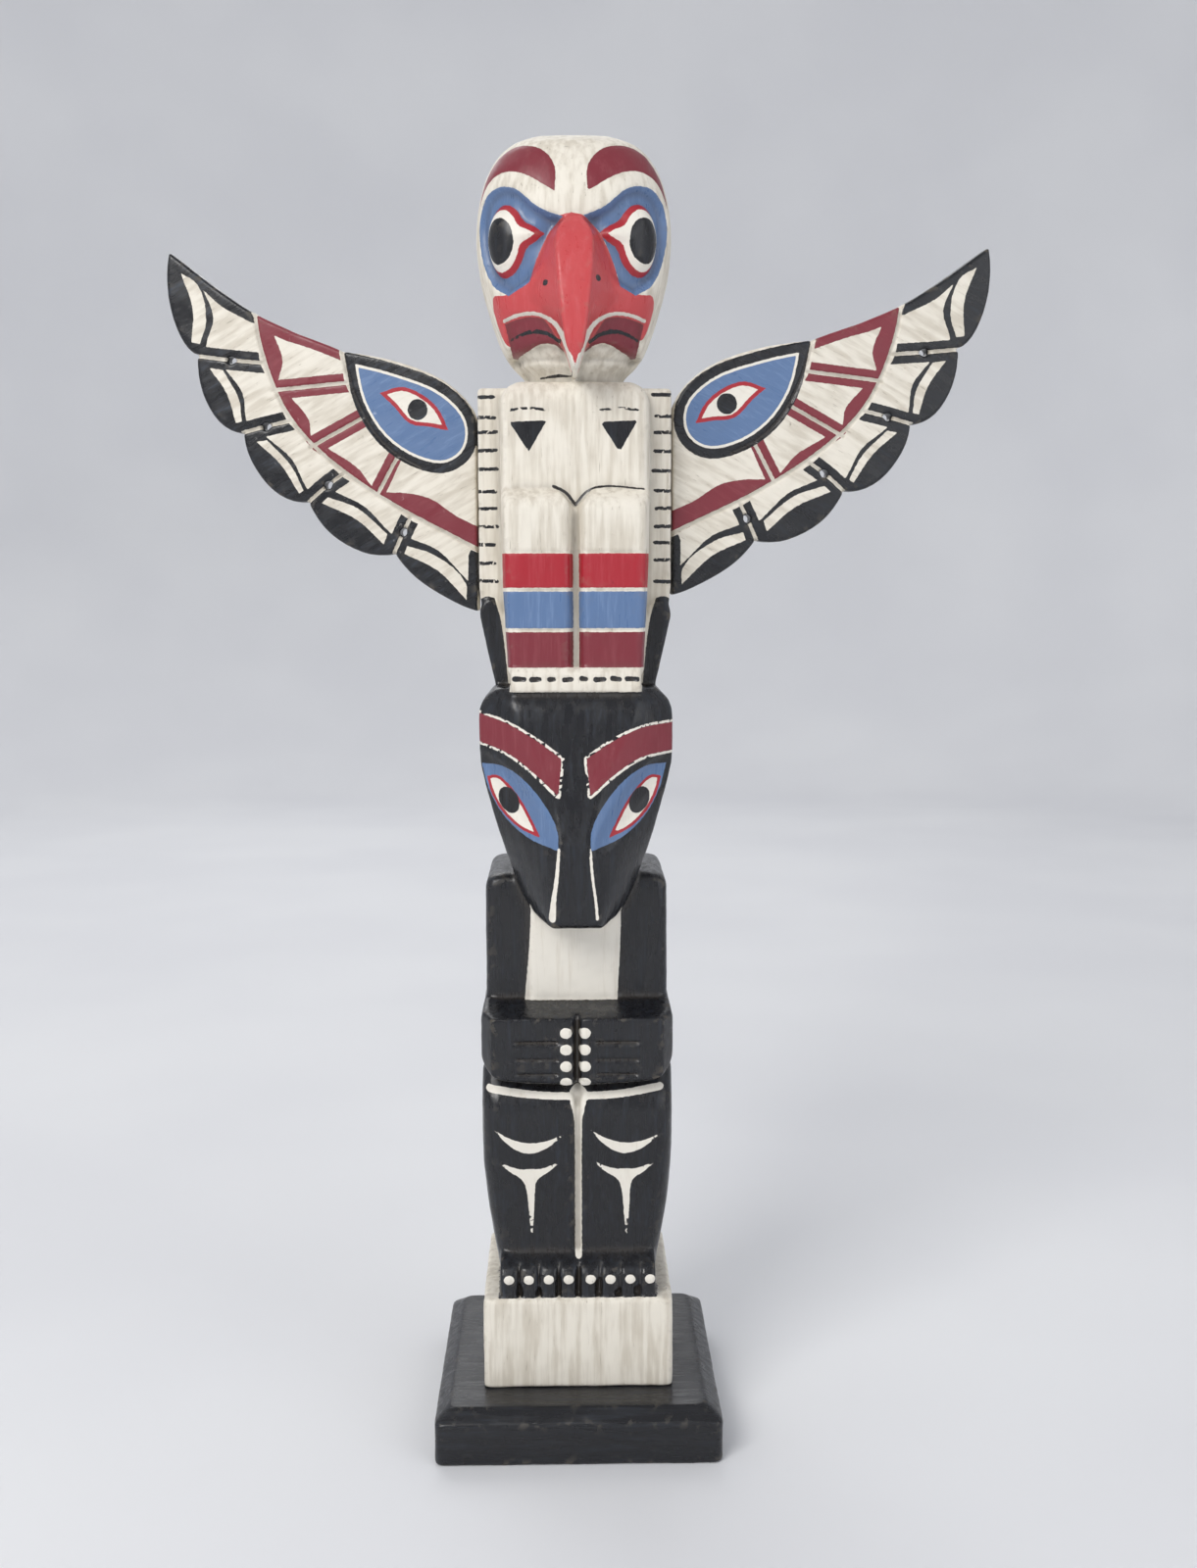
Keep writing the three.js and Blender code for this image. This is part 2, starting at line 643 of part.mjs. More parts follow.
// The wing in its own plane: x runs out from the root, y up, and its face looks along +z.
function makeWing({ side, stretch, turn, lift }) {
  const options = { depth: WING.thickness, bevelEnabled: false, curveSegments: 7 };
  const board = solid(new THREE.ExtrudeGeometry(wingOutline(), options).translate(0, 0, -WING.thickness));
  const carved = board.subtract(join(WING_LINES.map(wingGroove)));
  const placed = carved
    .scale([stretch, 1, 1])
    .translate([0, -WING.pivot, 0])
    .rotate([0, 0, turn])
    .translate([-WING.setIn, WING.pivot + lift, 0]);
  const wing = placed.subtract(box([-20, 0], [0, 600], [-20, 20]));
  return side < 0 ? wing.mirror([1, 0, 0]) : wing;
}

// ---------------------------------------------------------------- assembly

function piece(name, shape, material) {
  const mesh = new THREE.Mesh(geometryOf(shape), material);
  mesh.name = name;
  return mesh;
}

// A wing stands upright against the side of the log and is swept back from it.
function placedWing(name, wing) {
  const sweep = THREE.MathUtils.degToRad(WING.sweep);
  const board = piece(name, makeWing(wing), PAINT.wing);
  board.rotation.x = Math.PI / 2;
  const holder = new THREE.Group();
  const clearOfLog = LOG.half + JOINT_GAP + WING.thickness * Math.sin(sweep);
  holder.position.set(wing.side * clearOfLog, WING.rootY, 0);
  holder.rotation.z = wing.side * sweep;
  holder.add(board);
  return holder;
}

const group = new THREE.Group();
group.add(piece("base", makeBase(), PAINT.black));
group.add(piece("pole", makePole(), PAINT.cream));
group.add(placedWing("wing_left", WING_LEFT));
group.add(placedWing("wing_right", WING_RIGHT));
export default group;
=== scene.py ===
"""The looks of a small carved and painted totem pole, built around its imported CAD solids.

Lengths are in millimetres until a mesh is made, +Z is up and the carved front faces -Y. Each
piece is a distance field on a grid of voxels, negative inside the wood. It starts from the CAD
solid or from the same named curves, gets the finer carving, and is then meshed. Paint is kept on
the mesh as one signed distance per colour, positive inside the paint, so that its edges stay
sharp between the mesh's points.
"""

import math

import bmesh
import bpy
import numpy as np
import openvdb as vdb
from mathutils import Matrix, Vector


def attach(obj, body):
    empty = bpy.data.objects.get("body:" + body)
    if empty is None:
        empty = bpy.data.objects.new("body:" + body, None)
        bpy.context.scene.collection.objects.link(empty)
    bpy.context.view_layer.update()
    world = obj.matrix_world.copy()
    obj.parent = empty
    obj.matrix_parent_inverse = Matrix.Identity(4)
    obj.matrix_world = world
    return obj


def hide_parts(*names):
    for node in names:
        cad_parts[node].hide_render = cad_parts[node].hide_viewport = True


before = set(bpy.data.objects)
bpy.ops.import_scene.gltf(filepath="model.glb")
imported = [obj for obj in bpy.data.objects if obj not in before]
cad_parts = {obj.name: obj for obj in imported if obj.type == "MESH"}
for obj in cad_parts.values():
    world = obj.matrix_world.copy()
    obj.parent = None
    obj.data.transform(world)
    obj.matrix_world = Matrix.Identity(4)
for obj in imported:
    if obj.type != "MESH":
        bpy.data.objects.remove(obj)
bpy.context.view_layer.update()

POLE_STEP = 0.7
WING_STEP = 0.45
BASE_STEP = 0.8
POLE_FACES = 90000
WING_FACES = 50000
BASE_FACES = 16000
PAINT_ROUNDS = 4
TRIANGLE_LIMIT = 190000

# The longest edge left unsplit at a paint's edge. The base has one colour and isn't split.
POLE_FINEST, WING_FINEST, BASE_FINEST = 0.75, 0.45, 50

# How far the edges of each piece are rounded.
POLE_SOFTNESS, WING_SOFTNESS, BASE_SOFTNESS = 0.55, 0.4, 0.5
WEAR_SPREAD, WEAR_BEND = 1.2, 0.5

# A field is kept for BAND voxels to either side of a surface, and a paint for FAR outside it.
BAND = 4.0
FAR = -3.0

# The slow waver of the knife on each piece, as (depth, size, seed).
POLE_RIPPLES = ((0.1, 17, 3), (0.05, 6, 4))
WING_RIPPLES = ((0.08, 14, 8), (0.05, 5, 9))
BASE_RIPPLES = ((0.1, 22, 12), (0.04, 5, 13))

# Paint layers, each over the ones before it, on a cream ground.
LAYERS = ("black_under", "coral", "blue", "maroon", "crimson", "cream_over", "black_over")
SIDES = (-1, 1)


# ---------- curves and outlines


def profile(pairs):
    """A smooth curve through (position, value) pairs that never overshoots them."""
    at, value = np.array(pairs, float).T
    rise = np.diff(value) / np.diff(at)
    before, after = rise[:-1], rise[1:]
    same = before * after > 0
    inner = np.where(same, 2 * before * after / np.where(same, before + after, 1), 0)
    slope = np.concatenate([rise[:1], inner, rise[-1:]])

    def curve(x):
        x = np.clip(x, at[0], at[-1])
        k = np.clip(np.searchsorted(at, x, side="right") - 1, 0, len(at) - 2)
        width = at[k + 1] - at[k]
        t = (x - at[k]) / width
        start = value[k] * (1 + 2 * t) * (1 - t) ** 2 + slope[k] * width * t * (1 - t) ** 2
        end = value[k + 1] * t * t * (3 - 2 * t) - slope[k + 1] * width * t * t * (1 - t)
        return start + end

    return curve


def ramp(value, low, high):
    t = np.clip((value - low) / (high - low), 0, 1)
    return t * t * (3 - 2 * t)


def curve_through(points, closed=True, sharp=50, pieces=4):
    """A smooth run of points through the given ones, with a corner at a turn over `sharp` degrees."""
    points = np.array(points, float)
    ahead = np.roll(points, -1, 0) - points
    behind = points - np.roll(points, 1, 0)
    turn = np.arctan2(ahead[:, 1], ahead[:, 0]) - np.arctan2(behind[:, 1], behind[:, 0])
    corner = np.abs(np.angle(np.exp(1j * turn))) > math.radians(sharp)
    if not closed:
        corner[[0, -1]] = True
    way = ahead / np.linalg.norm(ahead, axis=1)[:, None]
    way = way + behind / np.linalg.norm(behind, axis=1)[:, None]
    way /= np.maximum(np.linalg.norm(way, axis=1), 1e-6)[:, None]
    t = np.arange(pieces)[:, None] / pieces
    run = []
    for i in range(len(points) - (not closed)):
        j = (i + 1) % len(points)
        chord = points[j] - points[i]
        length = np.linalg.norm(chord)
        leave = chord if corner[i] else way[i] * length
        arrive = chord if corner[j] else way[j] * length
        start = points[i] * (1 + 2 * t) * (1 - t) ** 2 + leave * t * (1 - t) ** 2
        run.append(start + points[j] * t * t * (3 - 2 * t) - arrive * t * t * (1 - t))
    if not closed:
        run.append(points[-1:])
    return np.concatenate(run)


def nearest(at, run, closed, widths=None):
    """The distance to a run of points, less half its width there."""
    starts = run if closed else run[:-1]
    ends = np.roll(run, -1, 0) if closed else run[1:]
    half = np.zeros(len(run)) if widths is None else widths / 2
    best = np.full(len(at), 1e9)
    for k, (a, b) in enumerate(zip(starts, ends)):
        along = b - a
        t = np.clip((at - a) @ along / max(along @ along, 1e-9), 0, 1)
        off = at - a - t[:, None] * along
        gap = np.sqrt(np.einsum("ij,ij->i", off, off))
        if widths is not None:
            gap -= half[k] * (1 - t) + half[k + 1] * t
        best = np.minimum(best, gap)
    return best


def close_to(at, run, reach):
    return np.all((at >= run.min(0) - reach) & (at <= run.max(0) + reach), axis=1)


def inside(at, run):
    """Whether each place is inside a closed run of points."""
    found = np.zeros(len(at), bool)
    for a, b in zip(run, np.roll(run, -1, 0)):
        if a[1] != b[1]:
            crosses = (a[1] > at[:, 1]) != (b[1] > at[:, 1])
            found ^= crosses & (at[:, 0] < (b[0] - a[0]) * (at[:, 1] - a[1]) / (b[1] - a[1]) + a[0])
    return found


def patch(at, points, reach=-FAR):
    """A filled closed curve."""
    run = curve_through(points)
    value = np.full(len(at), -float(reach))
    close = close_to(at, run, reach)
    q = at[close]
    value[close] = np.where(inside(q, run), 1, -1) * nearest(q, run, True)
    return np.maximum(value, -reach)


def stroke(at, points, *widths):
    """A brush stroke through the points, with a width at each or one for all."""
    run = curve_through(points, closed=False)
    known = np.linspace(0, 1, len(widths))
    width = np.interp(np.linspace(0, 1, len(run)), known, widths)
    value = np.full(len(at), FAR)
    close = close_to(at, run, -FAR + max(widths) / 2)
    value[close] = -nearest(at[close], run, False, width)
    return np.maximum(value, FAR)


def leaf(at, start, end, left, right):
    """A leaf between two points, bulging by `left` and `right` to the sides of the line between."""
    start, end = np.array(start, float), np.array(end, float)
    along = end - start
    side = np.array([-along[1], along[0]]) / np.linalg.norm(along)
    steps = ((0.25, 0.72), (0.5, 1), (0.75, 0.72))
    there = [start + along * t + side * left * rise for t, rise in steps]
    back = [end - along * t - side * right * rise for t, rise in steps]
    return patch(at, [start, *there, end, *back])


def oval(at, centre, radii, turn=0.0):
    """An ellipse turned anticlockwise by `turn` degrees."""
    c, s = math.cos(math.radians(turn)), math.sin(math.radians(turn))
    x, z = (at - centre).T
    q = np.stack([(x * c + z * s) / radii[0], (z * c - x * s) / radii[1]])
    size = np.maximum(np.linalg.norm(q, axis=0), 1e-6)
    slope = np.linalg.norm(q / np.array(radii)[:, None], axis=0)
    return np.maximum(size * (1 - size) / np.maximum(slope, 1e-6), FAR)


def slab(value, low, high):
    """Positive where a value, such as a height or the depth inside an edge, is from low to high."""
    return np.minimum(value - low, high - value)


def over(*values):
    return np.max(values, axis=0)


def within(*values):
    return np.min(values, axis=0)


def melt(a, b, radius):
    """The union of two painted shapes, with a fillet in the corner between them."""
    return -blend(-a, -b, radius)


def ahead_of(places, part):
    """How far each place is in front of where the paint of a part starts."""
    return -places[:, 1] - FRONT_FROM[part]


def beside(middle, points):
    """Points given from a middle line, as (x, height)."""
    return [(middle + across, height) for across, height in points]


def mirrored(at, middle=0.0):
    """The places folded about a vertical line, with the side each is on."""
    return np.stack([np.abs(at[:, 0] - middle), at[:, 1]], 1), np.where(at[:, 0] > middle, 1, -1)


# ---------- distance fields


class Block:
    """A box of voxels with one distance each."""

    def __init__(self, low, high, step):
        self.step = step
        self.first = np.floor(np.array(low) / step).astype(int)
        count = np.ceil(np.array(high) / step).astype(int) - self.first + 1
        self.field = np.full(count, BAND * step, np.float32)

    def axes(self):
        runs = [(self.first[k] + np.arange(self.field.shape[k])) * self.step for k in range(3)]
        return runs[0][:, None, None], runs[1][None, :, None], runs[2][None, None, :]

    def upper_part(self, height):
        """The same voxels from a height upwards, as a block that shares their values."""
        skip = max(int(height / self.step) - self.first[2], 0)
        part = Block([0] * 3, [0] * 3, self.step)
        part.first = self.first + [0, 0, skip]
        part.field = self.field[:, :, skip:]
        return part

    def sink(self, reach, change):
        """Lowers the surface by change(places), worked out where the field is within reach of it."""
        spots = np.nonzero(np.abs(self.field) < reach)
        places = (np.stack(spots, 1) + self.first) * self.step
        self.field[spots] += change(places).astype(np.float32)

    def clipped(self):
        limit = BAND * self.step
        return np.clip(self.field, -limit, limit)

    def sample(self, field, places):
        spot = places / self.step - self.first
        base = np.clip(np.floor(spot).astype(int), 0, np.array(field.shape) - 2)
        part = np.clip(spot - base, 0, 1)
        total = np.zeros(len(places))
        for corner in range(8):
            bits = np.array([corner & 1, corner >> 1 & 1, corner >> 2 & 1])
            weight = np.prod(np.where(bits, part, 1 - part), axis=1)
            total += weight * field[tuple((base + bits).T)]
        return total


def blurred(field, spread):
    """A Gaussian blur, which rounds edges and hollows alike. The spread is in voxels."""
    reach = max(int(math.ceil(2.5 * spread)), 1)
    kernel = np.exp(-0.5 * (np.arange(-reach, reach + 1) / spread) ** 2)
    kernel = (kernel / kernel.sum()).astype(np.float32)
    for axis in range(3):
        pad = [(reach, reach) if k == axis else (0, 0) for k in range(3)]
        padded = np.moveaxis(np.pad(field, pad, mode="edge"), axis, 0)
        size = field.shape[axis]
        field = np.moveaxis(sum(w * padded[k : k + size] for k, w in enumerate(kernel)), 0, axis)
    return field


def block_of(node, step):
    """The CAD solid of a node as a block."""
    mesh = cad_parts[node].data
    points = points_of(mesh).astype(np.float32)
    mesh.calc_loop_triangles()
    triangles = np.empty(len(mesh.loop_triangles) * 3, np.int32)
    mesh.loop_triangles.foreach_get("vertices", triangles)
    margin = 2 * BAND * step
    block = Block(points.min(0) - margin, points.max(0) + margin, step)
    grid = vdb.FloatGrid.createLevelSetFromPolygons(
        points,
        triangles=triangles.reshape(-1, 3).astype(np.uint32),
        transform=vdb.createLinearTransform(voxelSize=step),
        halfWidth=BAND,
    )
    grid.copyToArray(block.field, ijk=tuple(int(v) for v in block.first))
    return block


def even(field, step):
    """A field with the same surface and a slope of about one."""
    slope = np.sqrt(sum(g * g for g in np.gradient(field, step)))
    return field / np.maximum(slope, 0.5)


def blend(a, b, radius):
    """The union of two fields, with a fillet."""
    h = np.clip(0.5 + 0.5 * (b - a) / radius, 0, 1)
    return b * (1 - h) + a * h - radius * h * (1 - h)


def ripple(places, size, seed):
    """Smooth noise between about -1 and 1, with lumps of about the given size."""
    dice = np.random.default_rng(seed)
    total = np.zeros(len(places))
    for _ in range(7):
        way = dice.normal(size=3)
        way *= 2 * math.pi / (size * dice.uniform(0.7, 1.5) * np.linalg.norm(way))
        total += np.sin(places @ way + dice.uniform(0, 2 * math.pi))
    return total / 3.5


def rippled(places, ripples, down=0.0):
    """How far each place is carved down, once the waver of the knife is added."""
    for depth, size, seed in ripples:
        down = down + depth * ripple(places, size, seed)
    return down


def groove(off, half):
    """The depth of a rounded groove, 1 on its middle line."""
    return np.exp(-((off / half) ** 2))


def carved(block, softness, change):
    """Rounds a block's edges and then cuts into its surface."""
    block.field = blurred(block.clipped(), softness / block.step)
    block.sink(BAND * block.step * 0.9, change)
    return block


# ---------- meshing


def points_of(mesh):
    points = np.empty(len(mesh.vertices) * 3, np.float32)
    mesh.vertices.foreach_get("co", points)
    return points.reshape(-1, 3).astype(float) * 1000


def move_points(mesh, points):
    mesh.vertices.foreach_set("co", (points / 1000).astype(np.float32).ravel())
    mesh.update()


def surface(name, block):
    """The mesh of a block's surface."""
    grid = vdb.FloatGrid(BAND * block.step)
    grid.copyFromArray(np.ascontiguousarray(block.clipped(), np.float32))
    points, triangles, quads = grid.convertToPolygons(isovalue=0.0, adaptivity=0.0)
    points = (points + block.first) * block.step
    faces = np.concatenate([triangles, quads[:, [0, 1, 2]], quads[:, [0, 2, 3]]]).astype(np.int32)
    a, b, c = (points[faces[:, k]] for k in range(3))
    if np.einsum("ij,ij->i", a, np.cross(b, c)).sum() < 0:
        faces = faces[:, ::-1]
    mesh = bpy.data.meshes.new(name)
    mesh.vertices.add(len(points))
    mesh.loops.add(faces.size)
    mesh.loops.foreach_set("vertex_index", np.ascontiguousarray(faces).ravel())
    mesh.polygons.add(len(faces))
    mesh.polygons.foreach_set("loop_start", np.arange(0, faces.size, 3, dtype=np.int32))
    move_points(mesh, points)
    mesh.validate()
    return mesh


def thinned(mesh, target):
    """The mesh with fewer triangles, most of them where it bends."""
    if target >= len(mesh.polygons):
        return mesh
    helper = linked("helper", mesh)
    helper.modifiers.new("thin_streaks_and_highlight", "DECIMATE").ratio = target / len(mesh.polygons)
    graph = bpy.context.evaluated_depsgraph_get()
    result = bpy.data.meshes.new_from_object(helper.evaluated_get(graph))
    bpy.data.objects.remove(helper)
    result.name = mesh.name
    return result


def refine(mesh, paint, longest):
    """Splits the mesh's edges where a paint edge crosses them."""
    for _ in range(PAINT_ROUNDS):
        points = points_of(mesh)
        layers = paint(points)
        ends = np.empty(len(mesh.edges) * 2, np.int32)
        mesh.edges.foreach_get("vertices", ends)
        ends = ends.reshape(-1, 2)
        length = np.linalg.norm(points[ends[:, 0]] - points[ends[:, 1]], axis=1)
        crossed = np.zeros(len(ends), bool)
        for values in layers.values():
            crossed |= np.abs(values[ends]).min(1) < length * 0.7
        # Each split adds two triangles, so the longest edges go first and the mesh keeps its limit.
        chosen = np.nonzero(crossed & (length > longest))[0]
        room = max((TRIANGLE_LIMIT - len(mesh.polygons)) // 2, 0)
        chosen = chosen[np.argsort(-length[chosen], kind="stable")][:room]
        build = bmesh.new()
        build.from_mesh(mesh)
        build.edges.ensure_lookup_table()
        edges = [build.edges[i] for i in chosen]
        bmesh.ops.subdivide_edges(build, edges=edges, cuts=1)
        bmesh.ops.triangulate(build, faces=[f for f in build.faces if len(f.verts) > 3])
        build.to_mesh(mesh)
        build.free()


def store(mesh, name, values):
    mesh.attributes.new(name, "FLOAT", "POINT").data.foreach_set("value", values.astype(np.float32))


def dressed(name, block, faces, paint, finest):
    """The mesh of a block, with its paint, its worn edges and its hollows, which take grime and painted
    shade, as attributes.
    """
    mesh = thinned(surface(name, block), faces)
    refine(mesh, paint, finest)
    places = points_of(mesh)
    for layer, values in paint(places).items():
        store(mesh, layer, np.clip(values, FAR, -FAR))
    bend = block.sample(blurred(block.clipped(), WEAR_SPREAD / block.step), places)
    store(mesh, "edge", np.clip(bend / WEAR_BEND, 0, 1))
    # Depth in the hollows, for the grime and painted shade that darken them.
    store(mesh, "hollow_grime_and_shade", np.clip(-bend / WEAR_BEND, 0, 1))
    return mesh


def linked(name, data):
    """A new object in the scene."""
    made = bpy.data.objects.new(name, data)
    bpy.context.scene.collection.objects.link(made)
    return made


def add_piece(mesh, material, node):
    mesh.shade_smooth()
    mesh.materials.append(material)
    piece = linked(mesh.name, mesh)
    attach(piece, "root")
    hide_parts(node)
    return piece


def no_paint(places):
    return {layer: np.full(len(places), FAR) for layer in LAYERS}


def lay(paint, layer, *shapes):
    paint[layer] = over(paint[layer], *shapes)


# ---------- bird head

HEAD_POWER = 2.35
HEAD_FOOT, HEAD_TOP = 404, 500
CHEST_TOP = 407.5
HEAD_HALF = profile(
    [(404, 18), (409, 18.6), (416, 24.6), (420, 27), (431, 31.2), (450, 35.9), (461, 36.8)]
    + [(470, 36.2), (480, 34), (489, 29.6), (495, 23.4), (500, 13)]
)
HEAD_REACH = profile(
    [(404, 15), (409, 16.5), (417, 25), (422, 28), (434, 30.6), (450, 32), (468, 31.8)]
    + [(480, 29), (489, 24.6), (493, 21), (497, 11.4), (500, 0.6)]
)
HEAD_BACK = profile([(404, 24), (425, 30.5), (440, 32.6), (465, 32.8), (480, 30.6), (500, 14)])
BEAK_SIDE = profile(
    [(409, 0.9), (419, 4.3), (429, 10.6), (433, 14), (438, 16), (444, 14.8), (458, 9), (463.6, 4.5)]
)
BEAK_RIDGE = profile([(409, 0.5), (420, 3.7), (430, 5), (445, 6.2), (456, 6.6), (460.5, 5.2), (463.6, 2.6)])
BEAK_FRONT = profile(
    [(409, -43.4), (413, -45.8), (420, -47.6), (430, -47.4), (444, -43.8), (456, -38.6), (463.6, -33)]
)
BEAK_TIP, BEAK_TOP, BEAK_ROOT = 409, 463.6, -27
BEAK_FILLET, BEAK_SWELL = 1.6, 1.2
HEAD_JOIN = 3
WRAP_SIDE, WRAP_FRONT = 36.8, 31.5
FACE_MIDDLE = -1.2

# The right-hand half of the face, as (distance round the head from its middle, height).
BROW = [(6, 473), (6.6, 482), (11, 487.5), (20, 491), (33, 491.4), (42, 487.5), (46.5, 479), (46, 470.5)]
BROW += [(41, 477.5), (31, 481.6), (20, 480.4)]
SOCKET = [(0, 463), (11, 467), (22, 475), (34, 475.8), (43, 469), (43.6, 458), (35, 442.5), (25.5, 437.3)]
SOCKET += [(15.5, 441.5), (10, 447), (0, 452)]
EYE_AT, EYE_RADII = (28, 457), (10.2, 12.9)
EYE_CORNER, EYE_LEAD = (10.6, 458.6), (30, 458)
EYE_RIM = 1.9
PUPIL_AT, PUPIL_RADII = (28, 456.8), (6.6, 8.2)
CHEEK = [(0, 465.5), (7.5, 462.5), (12, 454), (17, 445.5), (26.5, 438), (36, 438), (39.6, 434), (38, 424)]
CHEEK += [(31, 415.4), (22, 416.6), (6, 421), (0, 405)]

# The right-hand half of the mouth, as (x, height).
LIP = [(26, 429.4), (20, 430.6), (13, 430.2), (8, 427), (4.4, 421), (0.4, 409.4)]
LIP_WIDTH = 1.1
# A short black line painted across the left of the neck.
NECK_LINE = [(-12.6, 409.4), (-6, 409.9), (-1, 409.6)]
JAW = [(26.6, 430), (18, 431.2), (11, 430), (6.8, 426), (2, 414), (23.6, 415)]
MANDIBLE = [(25.8, 428.4), (16, 429.6), (9.4, 427.6), (3, 416.8), (7.6, 420), (12, 420.4)]
MANDIBLE += [(18, 418.2), (23, 416.6)]
MOUTH_LINE = [(23.4, 422.7), (16, 424.6), (10, 423.6), (5.4, 420.6)]
CHIN = [(46, 411.6), (25, 417), (17.6, 419.2), (11, 420.8), (4.6, 419.4), (0, 417), (0, 400), (46, 400)]
NOSTRILS = [(-10.5, 440), (8.4, 441.1)]
NOSTRIL_RADII = (1, 1.2)

# How deep the face is carved.
SOCKET_DEPTH, SOCKET_CORNER_DEPTH = 3.2, 1.6
EYE_RISE, EYE_STEP = 3.4, 0.4
BROW_CUT, JAW_CUT, CHIN_CUT = 0.3, 1.5, 1.9
EYE_LEAD_BULGE, EYE_LEAD_FILLET = 4.6, 2.5


def round_head(places):
    """Places on the head as (distance round it from the middle of the front, height)."""
    x, y, z = places.T
    return np.stack([WRAP_SIDE * np.arctan2(x / WRAP_SIDE, -y / WRAP_FRONT), z], 1)


def bird_eye(half):
    """An eye with a drawn-out corner next to the beak."""
    lead = leaf(half, EYE_CORNER, EYE_LEAD, EYE_LEAD_BULGE, EYE_LEAD_BULGE)
    return melt(oval(half, EYE_AT, EYE_RADII), lead, EYE_LEAD_FILLET)


def face_relief(places):
    """How far each place on the bird's head is carved down."""
    half = mirrored(round_head(places), FACE_MIDDLE)[0]
    front = mirrored(places[:, [0, 2]])[0]
    facing = ramp(-places[:, 1], -5, 0)
    socket = patch(half, SOCKET)
    ball = np.clip(bird_eye(half) / 8, 0, 1)
    down = SOCKET_DEPTH * ramp(socket, -0.5, 3)
    down += SOCKET_CORNER_DEPTH * ramp(socket, 0, 3) * ramp(15 - half[:, 0], 0, 8)
    down -= EYE_RISE * (1 - (1 - ball) ** 2) + EYE_STEP * ramp(ball, 0, 0.05)
    down += BROW_CUT * groove(patch(half, BROW), 0.5)
    down += JAW_CUT * facing * ramp(patch(front, JAW), -0.1, 0.7)
    down += CHIN_CUT * facing * ramp(patch(front, CHIN), -0.1, 0.8)
    return down


def add_bird_head(block):
    """Joins the bird's head, with its eyes, beak and jaw, to the pole's field."""
    head = block.upper_part(HEAD_FOOT - 2 * HEAD_JOIN)
    pole = head.field
    X, Y, Z = head.axes()
    half = HEAD_HALF(Z)
    depth = np.where(Y < 0, HEAD_REACH(Z), HEAD_BACK(Z))
    ratio = (np.abs(X) / half) ** HEAD_POWER + (np.abs(Y) / depth) ** HEAD_POWER
    shell = (ratio ** (1 / HEAD_POWER) - 1) * np.minimum(half, depth)
    head.field = even(shell, head.step).astype(np.float32)
    head.sink(7, face_relief)
    head.field = np.maximum(head.field, np.maximum(Z - HEAD_TOP, HEAD_FOOT - HEAD_JOIN - Z))

    front, ridge, side = BEAK_FRONT(Z), BEAK_RIDGE(Z), BEAK_SIDE(Z)
    back = np.clip((Y - front) / (BEAK_ROOT - front), 0, 1)
    beak = np.maximum(front - Y, np.abs(X) - ridge - (side - ridge) * back**BEAK_SWELL)
    beak = np.maximum(beak, np.maximum(Z - BEAK_TOP, BEAK_TIP - Z))
    beak = np.maximum(even(beak, head.step), Y + 12)
    pole[:] = np.minimum(pole, blend(head.field, beak, BEAK_FILLET))


# ---------- pole

FOOT_BLOCK_TOP, BEAR_TOP = 57, 294
TOE_LOW, TOE_HALF = 292.6, 24.8
CLAWS = [(x, 163.4 - 6.5 * k) for k in range(4) for x in (-4.3, 2.8)]
CLAW_RADII = (2.3, 2.1)
NAILS = [(middle + 7.7 * k, 64.4) for middle in (-26.8, 4.9) for k in range(4)]
NAIL_RADII = (2, 1.8)
TOE_SLOTS = [(6 * k - 21, 297.4) for k in range(8)]
TOE_SLOT_RADII = (2.3, 1.1)
LEG_BANDS = (344.6, 330.6, 315.6, 301)
TICK_TOP, TICK_FOOT, TICK_EACH = 403, 330, 6.9
TICK_OUT, TICK_IN, TICK_WIDTH = 38, (29.4, 31), 1.4

# The bear's face, as (distance from its middle, height) for its right-hand half.
BEAR_MIDDLE = -0.8
BEAR_BROW = [(4.6, 268), (14, 274.6), (25, 280.2), (38, 283), (38, 272.4), (25, 269), (14.5, 262), (6, 254.4)]
BROW_LINE = 1
BEAR_SOCKET = [(6, 234.4), (6.4, 242), (11, 251), (19.5, 260.6), (27, 264.8), (35, 265.3), (32.5, 256)]
BEAR_SOCKET += [(27, 246), (18, 238.5)]
BEAR_EYE = [(12.6, 238.4), (16, 245), (19.6, 251.4), (24, 257), (29, 261), (33, 260.4), (31.5, 254.6)]
BEAR_EYE += [(27.5, 247.5), (21, 241.8)]
BEAR_RIM = 1.1
BEAR_PUPIL_AT, BEAR_PUPIL_RADII, BEAR_PUPIL_TURN = (24.6, 251.8), (3.7, 5.2), -26
NOSE_LINE = [(5.8, 235), (6.6, 225), (7.9, 215), (8.4, 209)]

# Marks on the bear's body and the bird's chest, as (x, height).
CHEST_PANEL = [(-17.9, 224), (17.1, 224), (17.1, 201), (15.8, 172.4), (-20.2, 172.4), (-17.9, 201)]
BELLY_LINE = [(-34, 139.4), (-16, 137.2), (0, 136.8), (16, 137.4), (32, 139.8)]
SHIN_LINE = [(0.3, 137), (0.3, 128), (0.3, 116), (0.3, 94), (0.3, 72)]
FINGER_LINES, FINGER_REACH = (159.4, 152.8, 146.9), 24
TOE_GAPS = [middle + 7.7 * (k + 0.5) for middle in (-26.8, 4.9) for k in range(3)] + [0.4]
TAIL = [(38, 326), (34, 328), (31, 327.4), (28.8, 320), (25.6, 292), (38, 292)]
BOW = [(-8, 368.8), (-3.6, 366.6), (0.1, 362), (3.8, 366.4), (8, 368.5), (25.7, 367.8)]

